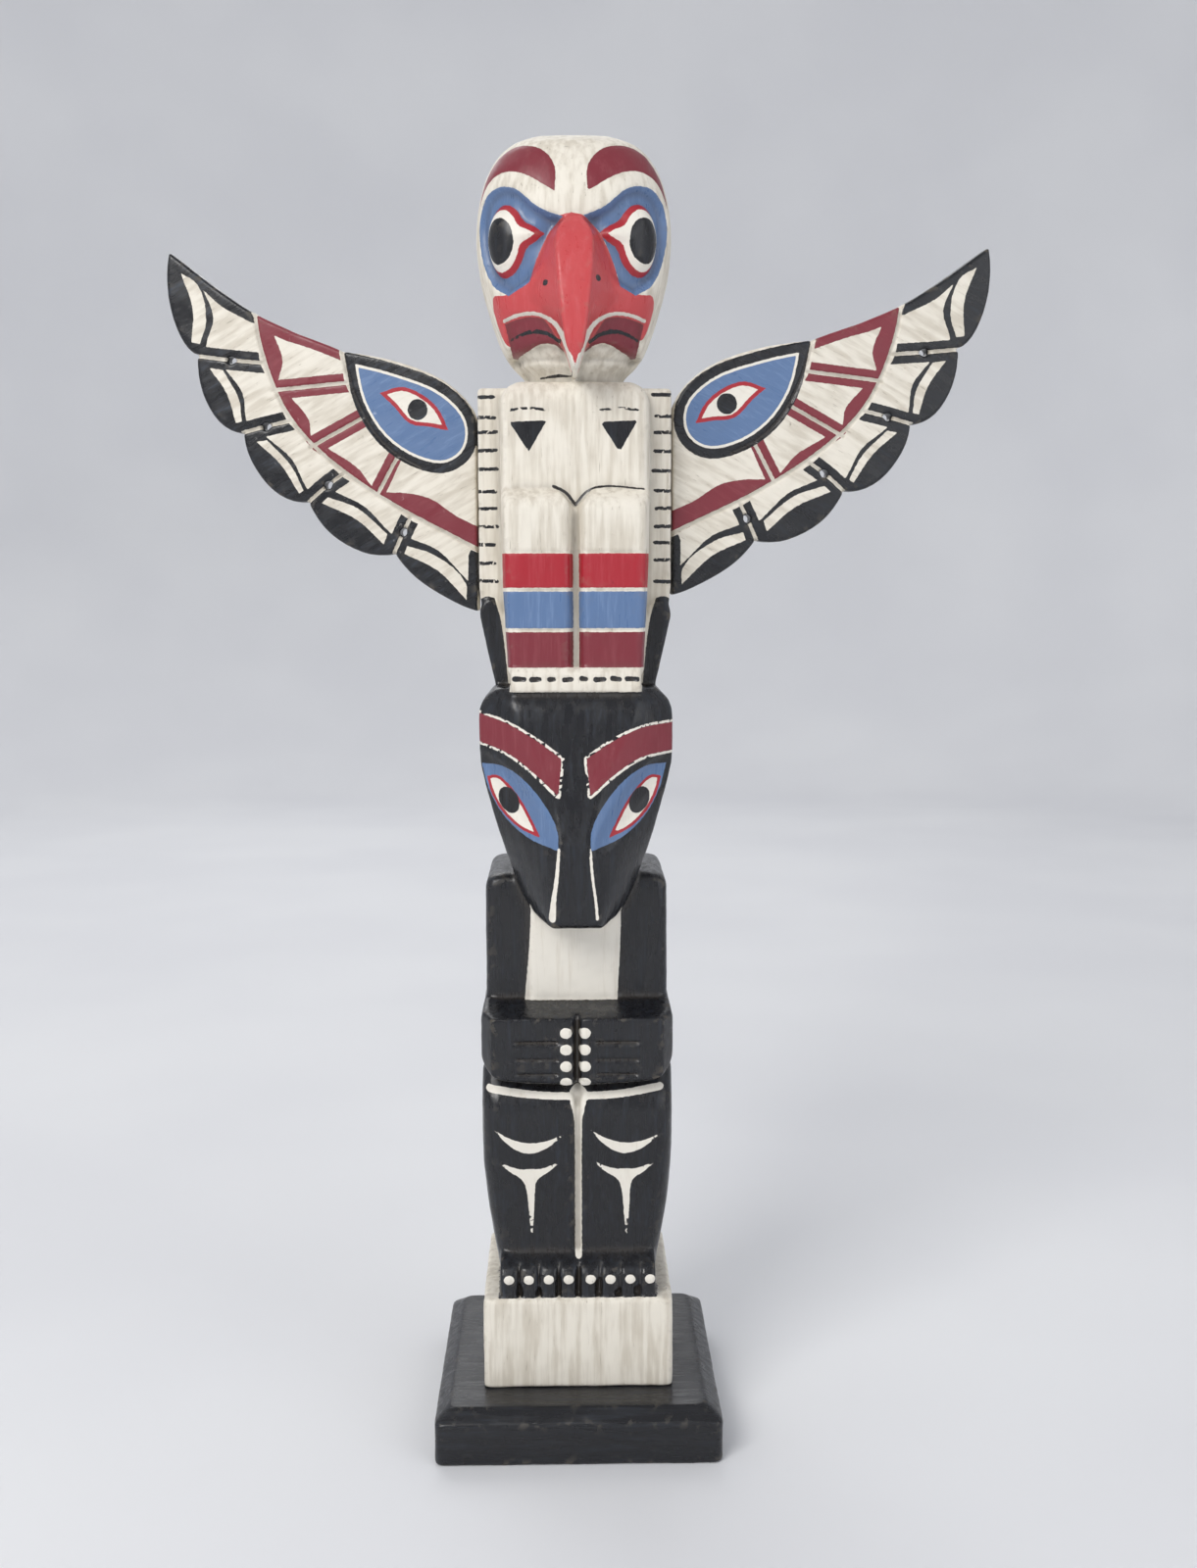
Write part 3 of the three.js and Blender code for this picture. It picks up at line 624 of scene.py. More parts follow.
# Marks that come in pairs, as (distance from the middle of each, height).
CHEST_MIDDLES = (-17.4, 16.4)
CHEST_ARROW = [(-7, 392.4), (0, 392.7), (7, 393), (0.2, 381.4)]
CHEST_DASH = [(-7, 396.6), (0, 397.4), (7, 396.8)]
LEG_MIDDLES = (-18.6, 18.4)
KNEE_TIPS, KNEE_BULGE = [(-13.4, 123.8), (13.4, 122)], (-4.4, 8.8)
SHIN_TIPS, SHIN_BULGE = [(-12.4, 111), (12.2, 111)], (-3.8, 7.6)
SHIN_STEM, SHIN_STEM_WIDTHS = [(0, 104), (0.4, 98), (0.6, 90), (0.6, 80)], (5, 3, 2, 0.6)

# How deep and how wide each cut of the knife is.
NAIL_RISE, TOE_SLOT_DEPTH = 0.5, 0.8
RING_DEPTH, RING_HALF = 0.45, 0.5
LEG_SPLIT_DEPTH, LEG_SPLIT_HALF, LEG_ROUND_IN, LEG_ROUND_OUT = 1.3, 1.1, 0.9, 0.8
FINGER_DEPTH, FINGER_HALF = 0.8, 0.7
HANDS_DEPTH, HANDS_HALF = 1.2, 1
TOE_GAP_DEPTH, TOE_GAP_HALF = 0.9, 0.7
SPOTS = [(CLAWS, CLAW_RADII, -NAIL_RISE), (NAILS, NAIL_RADII, -NAIL_RISE)]
SPOTS += [(TOE_SLOTS, TOE_SLOT_RADII, TOE_SLOT_DEPTH)]

# How far in front of the pole's middle a place has to be to take each paint.
FRONT_FROM = {
    "cheek": 2, "jaw": 4, "lip": 8, "neck": 10, "beak": 24,
    "chest": 18, "bow": 19, "bird legs": 22, "toe slots": 26,
    "bear face": 6, "bear legs": 10, "claws": 20, "nails": 24,
}


def knife_marks(places):
    """The pole's small carving: claws, nails, toes, leg rings and the slow waver of the knife."""
    x, y, z = places.T
    front = places[:, [0, 2]]
    half = np.abs(x)
    facing = ramp(-y, 8, 14)
    down = rippled(places, POLE_RIPPLES)
    for spots, radii, depth in SPOTS:
        for spot in spots:
            down += depth * facing * ramp(oval(front, spot, radii), -0.1, 0.7)
    for height in LEG_BANDS[:3]:
        down += RING_DEPTH * ramp(-y, 24, 26) * groove(z - height, RING_HALF)
    split = ramp(slab(z, 302, 366), -0.5, 1) * ramp(-y, 24, 27)
    rounding = LEG_SPLIT_DEPTH * groove(half, LEG_SPLIT_HALF) + LEG_ROUND_IN * ramp(5 - half, 0, 5)
    down += split * (rounding + LEG_ROUND_OUT * ramp(half, 22, 27.5))
    hands = ramp(-y, 30, 33)
    for height in FINGER_LINES:
        reach = ramp(slab(half, 6.5, FINGER_REACH), -0.3, 1.2) * hands
        down += FINGER_DEPTH * reach * groove(z - height, FINGER_HALF)
    down += HANDS_DEPTH * ramp(slab(z, 142, 170), 0, 1) * hands * groove(half, HANDS_HALF)
    toes = TOE_GAP_DEPTH * ramp(70.5 - z, 0, 1) * ramp(slab(z, 57, 80), 0, 1) * ramp(-y, 28, 31)
    for gap in TOE_GAPS:
        down += toes * groove(x - gap, TOE_GAP_HALF)
    return down


def carve_pole():
    block = block_of("pole", POLE_STEP)
    above_chest = block.upper_part(CHEST_TOP)
    above_chest.field[:] = np.maximum(above_chest.field, above_chest.axes()[2] - CHEST_TOP)
    add_bird_head(block)
    return carved(block, POLE_SOFTNESS, knife_marks)


def paint_bird_head(paint, places):
    x, y, z = places.T
    half = mirrored(round_head(places), FACE_MIDDLE)[0]
    plain = places[:, [0, 2]]
    front = mirrored(plain)[0]
    facing = -y
    head = z - CHEST_TOP - 1
    crown = BEAK_TOP + 1.4 - z - x * x / 14
    beak_front = ahead_of(places, "beak")
    beak = within(BEAK_SIDE(z) + 0.8 - np.abs(x), beak_front, z - BEAK_TIP + 1, crown)
    chin = patch(front, CHIN)
    cheek = within(patch(half, CHEEK), -chin, ahead_of(places, "cheek"))
    paint["coral"] = within(over(cheek, beak), head)
    paint["blue"] = within(patch(half, SOCKET), -beak)
    eye = bird_eye(half)
    jaw = within(patch(front, MANDIBLE), -beak, ahead_of(places, "jaw"))
    paint["maroon"] = over(patch(half, BROW), jaw)
    paint["crimson"] = within(eye, -beak)
    lip = within(stroke(front, LIP, LIP_WIDTH), slab(facing, FRONT_FROM["lip"], 46))
    paint["cream_over"] = over(lip, within(eye - EYE_RIM, -beak))
    mouth = within(stroke(front, MOUTH_LINE, 1, 1.6, 1), ahead_of(places, "lip"))
    # A short black line across the neck.
    neck_line = within(stroke(plain, NECK_LINE, 0.6, 1.3, 0.4), ahead_of(places, "neck"))
    holes = [within(oval(plain, spot, NOSTRIL_RADII), beak_front) for spot in NOSTRILS]
    paint["black_over"] = over(oval(half, PUPIL_AT, PUPIL_RADII), mouth, neck_line, *holes)


def paint_bird_body(paint, places):
    x, y, z = places.T
    front = places[:, [0, 2]]
    facing = -y
    legs = within(ahead_of(places, "bird legs"), slab(np.abs(x - 0.2), 1.1, 28.6))
    bands = [within(legs, slab(z, low + 0.7, high - 0.7)) for high, low in zip(LEG_BANDS, LEG_BANDS[1:])]
    for layer, band in zip(("crimson", "blue", "maroon"), bands):
        lay(paint, layer, band)
    tail = patch(mirrored(front)[0], TAIL)
    lay(paint, "black_under", within(tail, slab(facing, -2, 29)))
    dice = np.random.default_rng(5)
    marks = []
    for middle, height in TOE_SLOTS:
        reach = dice.uniform(0.7, 2.1)
        start = (middle - reach, height + dice.uniform(-0.3, 0.3))
        slot = stroke(front, [start, (middle + reach, height)], 2, 1.7)
        marks.append(within(slot, ahead_of(places, "toe slots")))
    for middle in CHEST_MIDDLES:
        arrow = patch(front, beside(middle, CHEST_ARROW))
        dash = stroke(front, beside(middle, CHEST_DASH), 1)
        marks.append(within(over(arrow, dash), ahead_of(places, "chest")))
    marks.append(within(stroke(front, BOW, 1.3, 1, 0.7), ahead_of(places, "bow")))
    for side in SIDES:
        for height in np.arange(TICK_TOP, TICK_FOOT, -TICK_EACH):
            level = height + dice.uniform(-0.8, 0.8)
            inner = dice.uniform(*TICK_IN)
            end = (side * inner, level + dice.uniform(-0.3, 0.3))
            tick = stroke(front, [(side * TICK_OUT, level), end], TICK_WIDTH)
            marks.append(within(tick, slab(facing, 3, 14)))
    lay(paint, "black_over", *marks)


def paint_bear(paint, places):
    x, y, z = places.T
    front = places[:, [0, 2]]
    facing = -y
    toes = within(TOE_HALF - np.abs(x), z - TOE_LOW, ahead_of(places, "nails"))
    paint["black_under"] = within(slab(z, FOOT_BLOCK_TOP + 0.2, BEAR_TOP + 0.6), -toes)
    half, side = mirrored(front, BEAR_MIDDLE)
    face = within(ahead_of(places, "bear face"), slab(z, 200, 292))
    # The brow on one side climbs a little as it goes out, and the other one falls.
    raised = half - np.stack([np.zeros(len(half)), -side * 1.9 * (half[:, 0] / 36) ** 2], 1)
    brow = patch(raised, BEAR_BROW)
    eye = patch(half, BEAR_EYE)
    lay(paint, "maroon", within(brow, face))
    lay(paint, "blue", within(patch(half, BEAR_SOCKET), face))
    lay(paint, "crimson", within(eye, face))
    pupil = oval(half, BEAR_PUPIL_AT, BEAR_PUPIL_RADII, BEAR_PUPIL_TURN)
    lay(paint, "black_over", within(pupil, face))

    nose = np.where(side < 0, stroke(half, NOSE_LINE, 1, 1.6, 2.6), stroke(half, NOSE_LINE, 1))
    light = [within(over(eye - BEAR_RIM, slab(brow, -BROW_LINE, 0), nose), face)]
    light.append(within(patch(front, CHEST_PANEL), slab(facing, 14, 27)))
    light += [within(oval(front, spot, CLAW_RADII), ahead_of(places, "claws")) for spot in CLAWS]
    light += [within(oval(front, spot, NAIL_RADII), ahead_of(places, "nails")) for spot in NAILS]
    for middle in LEG_MIDDLES:
        knee = leaf(front, *beside(middle, KNEE_TIPS), *KNEE_BULGE)
        shin = leaf(front, *beside(middle, SHIN_TIPS), *SHIN_BULGE)
        stem = stroke(front, beside(middle, SHIN_STEM), *SHIN_STEM_WIDTHS)
        light.append(within(over(knee, melt(shin, stem, 3)), ahead_of(places, "bear legs")))
    lines = over(stroke(front, BELLY_LINE, 2.6), stroke(front, SHIN_LINE, 7, 3, 2.6, 2.6, 2.6))
    light.append(within(lines, slab(facing, 8, 33.4)))
    lay(paint, "cream_over", *light)


def paint_pole(places):
    paint = no_paint(places)
    paint_bird_head(paint, places)
    paint_bear(paint, places)
    paint_bird_body(paint, places)
    return paint


# ---------- wings

# A wing as drawn flat, as (distance out from the pole, height). Three numbers follow each other
# where the edge is a curve: the first two steer it and the third ends it.
WING_START = (-4, 328)
WING_EDGE = [
    ((0, 328), (0, 328), (0, 328)),
    ((12, 331), (28, 340), (34, 349.6)),
    ((47, 346.5), (63, 354), (70, 369)),
    ((82, 367), (95, 380), (97, 395)),
    ((108, 395), (117, 410), (115.7, 425)),
    ((124, 427), (131, 447), (127.4, 463.8)),
    ((110, 452), (104, 447), (92, 440.8)),
    ((80, 434.6), (68, 431.5), (56, 426.8)),
    ((34, 424), (3, 419), (0, 395)),
    ((-4, 395), (-4, 395), (-4, 395)),
]
WING_THICK = 7
WING_ROUNDING = 1.1
TURN_HEIGHT, SET_IN, WING_LEAN = 365, 0.8, 8
WING_ROOT = (38.074, 2)
HOLES = [(101.8, 423), (87.3, 397.8), (61.7, 375.6), (30.6, 357.9)]
HOLE_RADIUS = 1.6
GROOVE_HALF, GROOVE_DEPTH = 0.75, 0.75

# The ends of the lines between the feathers: where the outer row starts and meets the wing's
# edge, then where the inner row starts at the painted eye and ends.
OUTER_FROM = [(92, 441), (88.4, 422), (77.4, 400), (55.6, 379.8), (27.8, 363.6), (0, 351.7)]
OUTER_TO = [(127.4, 463.8), (116.2, 424.4), (97.1, 395.2), (69.8, 368.8), (34.4, 349.6), (0, 328)]
INNER_FROM = [(56.4, 427), (54, 414.8), (47, 401.8), (33, 387.4)]
INNER_TO = [(92, 441), (84.4, 411.6), (69, 390), (41.4, 372)]
ROW_LINE = [(92, 441), (89.5, 428), (80, 405), (68.6, 391.5), (41, 372), (0, 352)]
EYE_LINE = [(56, 427), (54, 418.4), (44.4, 398.2), (34.8, 388.6), (24, 383)]

# In a feather's own square, 0 to 1 down it and 0 to 1 out: the outer edge of the cream field at
# its root, and the cream slit before its tip.
WIDE_FIELD = [(0.16, 0.65), (0.5, 0.59), (0.87, 0.8)]
WIDE_SLIT = [(0.15, 0.9), (0.5, 0.86), (0.87, 1.01), (0.87, 0.89), (0.58, 0.71), (0.17, 0.7)]
LONG_FIELD = [(0.13, 0.44), (0.46, 0.37), (0.87, 0.59)]
LONG_SLIT = [(0.1, 0.85), (0.5, 0.75), (0.87, 0.93), (0.85, 0.66), (0.42, 0.5), (0.1, 0.65)]
INNER_FIELD = [(0.19, 0.82), (0.6, 0.78), (0.86, 0.89)]
LOBE = [(0, 0.05), (0, 1.1), (0.3, 1.6), (0.7, 1.6), (1, 1.1), (1, 0.05)]
INNER_WHOLE = [(0, 0.03), (0, 1), (1, 1), (1, 0.03)]
LOWEST_INNER = [(31.4, 386), (34, 385.2), (41.4, 371.6), (0, 351), (0, 360.6), (9, 364.6)]
LOWEST_INNER += [(19.5, 371), (29, 373), (37.6, 373.2)]

EYE_PANEL = [(55.6, 426.8), (34, 422), (13, 414), (2, 402), (2.6, 388.8), (12, 381.4), (26, 382.8), (41, 392)]
EYE_PANEL += [(50.6, 406)]
PANEL_BORDER, PANEL_LINE = 3.8, 1
WING_EYE = [(9.4, 394.2), (14, 402.6), (21, 408), (28.5, 410.4), (37.4, 408), (32, 403.4)]
WING_EYE += [(25, 396.6), (16.5, 395.4)]
WING_EYE_RIM = 1.5

# The strokes along the feathers' sides, half as wide as this, also follow the wing's edges.
LEG_STROKE, INNER_LEG_STROKE = 7.8, 7.4
OUTER_TOP = [(92, 441), (104, 447), (110, 452), (127.4, 463.8)]
INNER_TOP = [(56, 427), (68, 431.2), (80, 434.8), (92, 441)]
ROOT_EDGE = [(0, 328), (0, 349)]
# Black painted in each hole and this far round it, as painted shadow.
HOLE_SHADE = 0.35
WING_PUPIL, WING_PUPIL_RADIUS = (22, 401.9), 4


class Wing:
    """Where one wing sits: its side of the pole, its stretch, its turn and its rise from the drawing."""

    def __init__(self, side, stretch, turn, rise, eye_shift):
        self.side = side
        self.stretch = stretch
        self.turn = math.radians(turn)
        self.rise = rise
        self.eye_shift = eye_shift
        self.node = "wing_left" if side < 0 else "wing_right"

    def out(self, u, v):
        """Distance out from the pole's side, once turned."""
        return self.stretch * u * math.cos(self.turn) - (v - TURN_HEIGHT) * math.sin(self.turn) - SET_IN

    def up(self, u, v):
        level = self.stretch * u * math.sin(self.turn) + (v - TURN_HEIGHT) * math.cos(self.turn)
        return level + TURN_HEIGHT + self.rise

    def placed(self, flat):
        """Places in the drawing, with their distance in front of its face, as places on the pole."""
        u, v, w = flat.T
        out = self.out(u, v)
        lean = math.radians(WING_LEAN)
        x = WING_ROOT[0] + out * math.cos(lean) + w * math.sin(lean)
        y = WING_ROOT[1] + out * math.sin(lean) - w * math.cos(lean)
        return np.stack([self.side * x, y, self.up(u, v)], 1)


WINGS = [Wing(-1, 0.974, 1.5, -5.9, (3.2, 3)), Wing(1, 1, 0, 0, (0, 0))]


def bezier_edge(start, curves, pieces=12):
    """The run of points along a chain of curves, each given by its two steering points and its end."""
    run = []
    t = np.arange(1, pieces + 1)[:, None] / pieces
    for first, second, end in curves:
        a, b, c, d = (np.array(p, float) for p in (start, first, second, end))
        run.append(a * (1 - t) ** 3 + 3 * b * t * (1 - t) ** 2 + 3 * c * t * t * (1 - t) + d * t**3)
        start = end
    return np.concatenate(run)


def wing_outline(at):
    """Distance to the wing's edge, positive inside."""
    run = bezier_edge(WING_START, WING_EDGE)
    return np.where(inside(at, run), 1, -1) * nearest(at, run, True)


def in_cell(corners, points):
    """Points of a feather's own square as places in the drawing."""
    top_in, top_out, low_out, low_in = (np.array(c, float) for c in corners)
    down, out = np.array(points, float).T[:, :, None]
    return (1 - down) * ((1 - out) * top_in + out * top_out) + down * ((1 - out) * low_in + out * low_out)


def widened(field):
    """A feather's cream field from past its root and sides, for the leg strokes to trim."""
    top, middle, low = field
    return [(-0.1, -0.3), (-0.1, top[1] + 0.03), top, middle, low, (1.1, low[1] + 0.06), (1.1, -0.3)]


def cells(inner, outer):
    return zip(inner, outer, outer[1:], inner[1:])


def outer_lines(at, width):
    return over(*[stroke(at, run, width) for run in zip(OUTER_FROM[1:], HOLES, OUTER_TO[1:])])


def inner_lines(at, width):
    return over(*[stroke(at, run, width) for run in zip(INNER_FROM[1:], INNER_TO[1:])])


def wing_lines(at):
    """The cut lines: round the painted eye, between the two rows, and between the feathers."""
    return over(stroke(at, ROW_LINE, 0), stroke(at, EYE_LINE, 0), outer_lines(at, 0), inner_lines(at, 0))


def wing_cuts(places):
    face = ramp(places[:, 2], -3, -1)
    line = -wing_lines(places[:, :2])
    down = face * GROOVE_DEPTH * ramp(GROOVE_HALF - line, -0.4, 0.5)
    return rippled(places, WING_RIPPLES, down)


def carve_wing(wing):
    block = Block((-5, 322, -WING_THICK - 3), (134, 470, 3), WING_STEP)
    U, V, W = block.axes()
    size = (U.size, V.size)
    flat = np.stack([np.broadcast_to(axis[:, :, 0], size) for axis in (U, V)], 2)
    across = -wing_outline(flat.reshape(-1, 2)).reshape(size)[:, :, None]
    thick = np.abs(W + WING_THICK / 2) - WING_THICK / 2
    near_edge, near_face = across + WING_ROUNDING, thick + WING_ROUNDING
    outside = np.hypot(np.maximum(near_edge, 0), np.maximum(near_face, 0)) - WING_ROUNDING
    deep = np.minimum(np.maximum(across, thick) + WING_ROUNDING, 0)
    block.field = (outside + deep).astype(np.float32)
    block.field = np.maximum(block.field, -wing.out(U, V) + 0 * W)
    for hole in HOLES:
        block.field = np.maximum(block.field, HOLE_RADIUS - np.hypot(U - hole[0], V - hole[1]))
    return carved(block, WING_SOFTNESS, wing_cuts)


def paint_outer_row(at):
    """The black of the long feathers: their sides, and their tips round a cream slit."""
    width = LEG_STROKE
    legs = over(outer_lines(at, width), stroke(at, OUTER_TOP, width), stroke(at, ROOT_EDGE, width))
    feathers = []
    for k, corners in enumerate(cells(OUTER_FROM, OUTER_TO)):
        field, slit = (WIDE_FIELD, WIDE_SLIT) if k < 3 else (LONG_FIELD, LONG_SLIT)
        open_field = within(patch(at, in_cell(corners, widened(field))), -legs)
        cream = over(open_field, patch(at, in_cell(corners, slit)))
        feathers.append(within(patch(at, in_cell(corners, LOBE)), -cream))
    return over(*feathers)


def paint_inner_row(at):
    """The maroon of the short feathers between the painted eye and the long ones."""
    legs = over(inner_lines(at, INNER_LEG_STROKE), stroke(at, INNER_TOP, INNER_LEG_STROKE))
    feathers = [patch(at, LOWEST_INNER)]
    for corners in cells(INNER_FROM, INNER_TO):
        open_field = within(patch(at, in_cell(corners, widened(INNER_FIELD))), -legs)
        feathers.append(within(patch(at, in_cell(corners, INNER_WHOLE)), -open_field))
    return over(*feathers)


def paint_wing(wing, places):
    paint = no_paint(places)
    at = places[:, :2]
    face = places[:, 2] + WING_THICK - 0.7
    lines = wing_lines(at) + GROOVE_HALF
    panel = patch(at, EYE_PANEL, reach=8)
    eye = patch(at - wing.eye_shift, WING_EYE)
    line = PANEL_BORDER + PANEL_LINE
    paint["maroon"] = within(paint_inner_row(at), -lines, face)
    paint["blue"] = within(panel - line, face)
    paint["crimson"] = within(eye, face)
    paint["cream_over"] = within(over(slab(panel, PANEL_BORDER, line), eye - WING_EYE_RIM), face)
    pupil = oval(at - wing.eye_shift, WING_PUPIL, (WING_PUPIL_RADIUS, WING_PUPIL_RADIUS))
    black = over(within(paint_outer_row(at), -lines), slab(panel, 0, PANEL_BORDER))
    # Painted shadow: black fills each hole and a ring round it.
    hole_shadow_radius = HOLE_RADIUS + HOLE_SHADE
    hole_shadows = over(*[oval(at, hole, (hole_shadow_radius, hole_shadow_radius)) for hole in HOLES])
    paint["black_over"] = over(within(over(black, pupil), face), hole_shadows)
    return paint


# ---------- materials


def colour(hex_code):
    """A linear colour from an sRGB code."""
    parts = [int(hex_code[k : k + 2], 16) / 255 for k in (0, 2, 4)]
    return (*[c / 12.92 if c <= 0.04045 else ((c + 0.055) / 1.055) ** 2.4 for c in parts], 1)


class Nodes:
    """A short way to write a shader's nodes. Each call makes one node and gives its first output."""

    def __init__(self, material):
        material.use_nodes = True
        self.tree = material.node_tree
        self.shader = self.tree.nodes["Principled BSDF"]

    def put(self, value, socket):
        if isinstance(value, bpy.types.NodeSocket):
            self.tree.links.new(value, socket)
        else:
            socket.default_value = value

    def add(self, kind, inputs, output=0, **settings):
        made = self.tree.nodes.new(kind)
        for name, value in settings.items():
            setattr(made, name, value)
        for name, value in inputs.items():
            self.put(value, made.inputs[name])
        return made.outputs[output]

    def value(self, name):
        return self.add("ShaderNodeAttribute", {}, "Fac", attribute_name=name)

    def math(self, operation, *values):
        return self.add("ShaderNodeMath", dict(enumerate(values)), operation=operation)

    def noise(self, place, scale, detail=2.0):
        return self.add("ShaderNodeTexNoise", {"Vector": place, "Scale": scale, "Detail": detail})

    def ramp(self, value, low, high, start=0.0, end=1.0):
        inputs = {"Value": value, "From Min": low, "From Max": high, "To Min": start, "To Max": end}
        return self.add("ShaderNodeMapRange", inputs, interpolation_type="SMOOTHSTEP")

    def mix(self, factor, a, b):
        return self.add("ShaderNodeMix", {0: factor, 6: a, 7: b}, 2, data_type="RGBA")

    def blend(self, factor, a, b):
        return self.add("ShaderNodeMix", {0: factor, 2: a, 3: b}, 0)


# The cream ground, its darker tone and the pores; the last is grime with painted shade for the hollows.
CREAM, CREAM_SHADE, PORE, GRIME_AND_SHADE = "e6e0d3", "cfc7b8", "8d8373", "4c443a"
# Black paint, and the painted bluish highlight streaked over it.
BLACK, BLACK_PAINTED_SHEEN = "17181c", "2c3440"
FINE_GRAIN, BROAD_GRAIN = (1600, 1600, 110), (420, 420, 40)
PAINT_BLEED = 0.09
BRUSH_RELIEF, RELIEF_HEIGHT = 0.35, 0.0004
# Each colour as laid on thickly and as brushed out in streaks, and how rough it is. For the blacks the
# streaked colour is a painted bluish highlight.
PAINTS = {
    "black_under": (BLACK, BLACK_PAINTED_SHEEN, 0.28),
    "coral": ("c4484b", "d0656a", 0.34),
    "blue": ("5c779f", "7d97bd", 0.34),
    "maroon": ("7c2a35", "8f444c", 0.38),
    "crimson": ("a8222f", "b63f4a", 0.38),
    "cream_over": ("e8e3d8", "d2cabb", 0.5),
    "black_over": (BLACK, BLACK_PAINTED_SHEEN, 0.3),
}


def painted_wood(name, grain_turn, painted_sheen, layers=LAYERS, ground=CREAM):
    """Brushed paint over carved wood, with the grain turned from upright by `grain_turn` degrees. Its black
    carries streaks of painted bluish highlight, and its hollows grime with painted shade.
    """
    material = bpy.data.materials.new(name)
    n = Nodes(material)
    place = n.add("ShaderNodeTexCoord", {}, "Object")
    turned = n.add("ShaderNodeMapping", {"Vector": place, "Rotation": (0, math.radians(grain_turn), 0)})
    fine = n.add("ShaderNodeMapping", {"Vector": turned, "Scale": FINE_GRAIN})
    broad = n.add("ShaderNodeMapping", {"Vector": turned, "Scale": BROAD_GRAIN})
    strokes = n.noise(fine, 1.0, 3.0)
    sweeps = n.noise(broad, 1.0, 3.0)
    blotch = n.noise(place, 55.0, 3.0)
    waver = n.math("MULTIPLY_ADD", n.noise(place, 700.0), 0.5, -0.25)

    shade = n.ramp(n.math("ADD", sweeps, n.math("MULTIPLY", blotch, 0.5)), 0.6, 0.95)
    tone = n.mix(shade, colour(ground), colour(CREAM_SHADE if ground == CREAM else BLACK_PAINTED_SHEEN))
    pores = n.ramp(n.math("ADD", strokes, n.math("MULTIPLY", sweeps, 0.35)), 0.83, 0.95)
    tone = n.mix(n.math("MULTIPLY", pores, 0.55), tone, colour(PORE))
    rough = n.ramp(strokes, 0.3, 0.7, 0.5, 0.66)
    thick = n.math("MULTIPLY", strokes, 0.25)

    # Streaks where the paint is brushed out; on the black they are painted bluish highlight.
    thin_streaks_and_highlight = n.ramp(n.math("ADD", n.math("MULTIPLY", sweeps, 0.6), n.math("MULTIPLY", strokes, 0.4)), 0.5, 0.72)
    for layer in layers:
        thickly, thin_coat_and_highlight, gloss = PAINTS[layer]
        spread = n.ramp(n.math("ADD", n.value(layer), waver), -PAINT_BLEED, PAINT_BLEED)
        # How much of the streaked colour shows: on the black this is the painted highlight.
        weight = painted_sheen if layer.startswith("black") else 0.5
        coat = n.mix(n.math("MULTIPLY", thin_streaks_and_highlight, weight), colour(thickly), colour(thin_coat_and_highlight))
        tone = n.mix(spread, tone, coat)
        rough = n.blend(spread, rough, n.ramp(sweeps, 0.3, 0.7, gloss - 0.08, gloss + 0.1))
        thick = n.blend(spread, thick, n.math("MULTIPLY_ADD", strokes, 0.3, 0.3))

    chip = n.math("MULTIPLY", n.value("edge"), n.ramp(n.noise(place, 260.0, 4.0), 0.56, 0.66))
    tone = n.mix(n.math("MULTIPLY", chip, 0.3), tone, colour(PORE))
    # Grime and painted shade darken the hollows.
    tone = n.mix(n.math("MULTIPLY", n.value("hollow_grime_and_shade"), 0.45), tone, colour(GRIME_AND_SHADE))
    n.put(tone, n.shader.inputs["Base Color"])
    n.put(n.blend(chip, rough, 0.75), n.shader.inputs["Roughness"])
    relief = {"Height": thick, "Strength": BRUSH_RELIEF, "Distance": RELIEF_HEIGHT}
    bump = n.add("ShaderNodeBump", relief)
    n.put(bump, n.shader.inputs["Normal"])
    return material


def studio_material(name, tint, shade):
    """A matt pale surface with a faint cloudiness."""
    material = bpy.data.materials.new(name)
    n = Nodes(material)
    cloud = n.noise(n.add("ShaderNodeTexCoord", {}, "Object"), 3.0)
    n.put(n.mix(n.ramp(cloud, 0.3, 0.7), colour(tint), colour(shade)), n.shader.inputs["Base Color"])
    n.shader.inputs["Roughness"].default_value = 0.85
    return material


# ---------- pieces


def make_pole(material):
    mesh = dressed("pole_carving", carve_pole(), POLE_FACES, paint_pole, POLE_FINEST)
    return add_piece(mesh, material, "pole")


def make_wing(wing, material):
    block = carve_wing(wing)
    name = wing.node + "_feathers"
    flat = dressed(name, block, WING_FACES, lambda at: paint_wing(wing, at), WING_FINEST)
    move_points(flat, wing.placed(points_of(flat)))
    if wing.side < 0:
        flat.flip_normals()
    return add_piece(flat, material, wing.node)


def paint_base(places):
    paint = no_paint(places)
    paint["black_under"] = np.full(len(places), -FAR)
    return paint


def make_base(material):
    block = carved(block_of("base", BASE_STEP), BASE_SOFTNESS, lambda at: rippled(at, BASE_RIPPLES))
    mesh = dressed("plinth", block, BASE_FACES, paint_base, BASE_FINEST)
    return add_piece(mesh, material, "base")


# ---------- studio

SWEEP_RADIUS, SWEEP_BEND, SWEEP_HEIGHT = 2.6, 0.7, 2.4
SWEEP_TURNS, BEND_STEPS = 96, 16


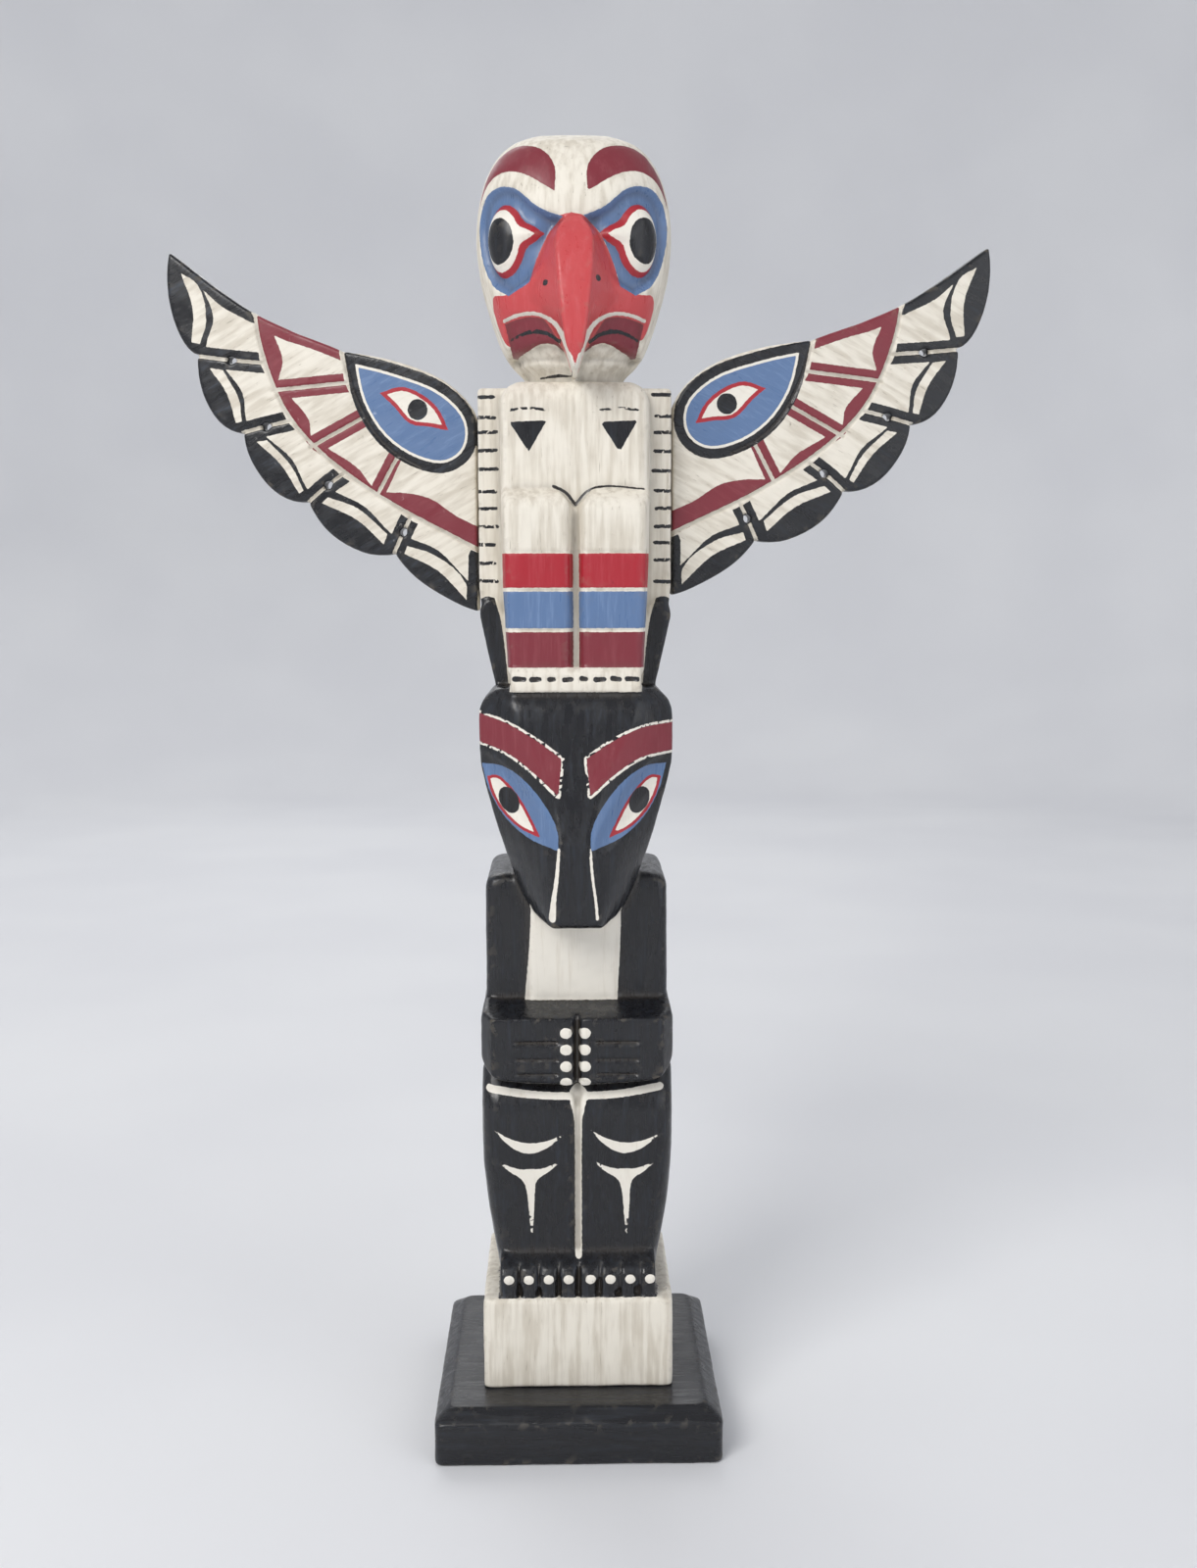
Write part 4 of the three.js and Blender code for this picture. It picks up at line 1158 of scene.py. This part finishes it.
def make_sweep(material):
    """A round pale floor that curves up into a wall well behind the work."""
    line = [(0.0, 0.0)]
    for k in range(BEND_STEPS + 1):
        angle = math.pi / 2 * k / BEND_STEPS
        out = SWEEP_RADIUS - SWEEP_BEND + SWEEP_BEND * math.sin(angle)
        line.append((out, SWEEP_BEND - SWEEP_BEND * math.cos(angle)))
    line.append((SWEEP_RADIUS, SWEEP_HEIGHT))
    build = bmesh.new()
    verts = [build.verts.new((out, 0, height)) for out, height in line]
    edges = [build.edges.new(pair) for pair in zip(verts, verts[1:])]
    turning = {"cent": (0, 0, 0), "axis": (0, 0, 1), "angle": 2 * math.pi, "steps": SWEEP_TURNS}
    bmesh.ops.spin(build, geom=verts + edges, use_merge=True, **turning)
    bmesh.ops.remove_doubles(build, verts=build.verts, dist=1e-5)
    bmesh.ops.recalc_face_normals(build, faces=build.faces)
    mesh = bpy.data.meshes.new("studio_sweep")
    build.to_mesh(mesh)
    build.free()
    mesh.shade_smooth()
    mesh.materials.append(material)
    sweep = linked("studio_sweep", mesh)


def add_light(name, place, size, power, tint):
    """A soft square light aimed at the middle of the work."""
    light = bpy.data.lights.new(name, "AREA")
    light.shape = "SQUARE"
    light.size = size
    light.energy = power
    light.color = tint
    lamp = linked(name, light)
    lamp.location = place
    lamp.rotation_euler = (Vector(AIM) - Vector(place)).to_track_quat("-Z", "Y").to_euler()


# Each light as (name, place, size, power, tint).
LIGHTS = [
    ("window", (-1.0, -1.5, 1.5), 1.0, 26, (1, 0.985, 0.96)),
    ("fill", (1.4, -1.3, 0.9), 1.5, 7, (0.96, 0.98, 1)),
    ("back", (-0.4, 1.5, 1.6), 1.4, 10, (1, 1, 1)),
]
AIM = (0, 0, 0.28)
AIR_COLOUR, AIR_STRENGTH = (0.95, 0.96, 1, 1), 0.48


def light_studio():
    for light in LIGHTS:
        add_light(*light)
    world = bpy.data.worlds.new("studio_air")
    world.use_nodes = True
    background = world.node_tree.nodes["Background"]
    background.inputs["Color"].default_value = AIR_COLOUR
    background.inputs["Strength"].default_value = AIR_STRENGTH
    bpy.context.scene.world = world
    bpy.context.scene.view_settings.view_transform = "Standard"


CAMERA_AT = (-0.003753, -0.63362, 0.33224)
CAMERA_DOWN, CAMERA_YAW, CAMERA_ROLL = 7.0122, 1.1495, -0.1056
CAMERA_LENS, CAMERA_SENSOR = 37.125, 36


def place_camera():
    """The camera stands before the work at chest height and looks slightly down."""
    down, yaw, roll = (math.radians(a) for a in (CAMERA_DOWN, CAMERA_YAW, CAMERA_ROLL))
    ahead = Vector((math.sin(yaw) * math.cos(down), math.cos(yaw) * math.cos(down), -math.sin(down)))
    right = ahead.cross(Vector((0, 0, 1))).normalized()
    up = right.cross(ahead)
    level = right * math.cos(roll) + up * math.sin(roll)
    top = up * math.cos(roll) - right * math.sin(roll)
    data = bpy.data.cameras.new("camera")
    data.sensor_fit = "AUTO"
    data.sensor_width = CAMERA_SENSOR
    data.lens = CAMERA_LENS
    camera = linked("camera", data)
    turn = Matrix((level, top, -ahead)).transposed().to_4x4()
    camera.matrix_world = Matrix.Translation(CAMERA_AT) @ turn
    bpy.context.scene.camera = camera


# ---------- the scene

# The grain of a wing leans out from the pole, and the left one's black has more painted bluish highlight.
WING_GRAIN = 62
WING_PAINTED_SHEENS = {-1: 0.9, 1: 0.45}

pole_paint = painted_wood("pole_paint", 0, 0.5)
make_pole(pole_paint)
for wing in WINGS:
    painted_sheen = WING_PAINTED_SHEENS[wing.side]
    wing_paint = painted_wood(wing.node + "_paint", wing.side * WING_GRAIN, painted_sheen, LAYERS[2:])
    make_wing(wing, wing_paint)
make_base(painted_wood("plinth_paint", 90, 0.4, LAYERS[:1]))

make_sweep(studio_material("studio_paper", "e9eaec", "e3e4e7"))
light_studio()
place_camera()
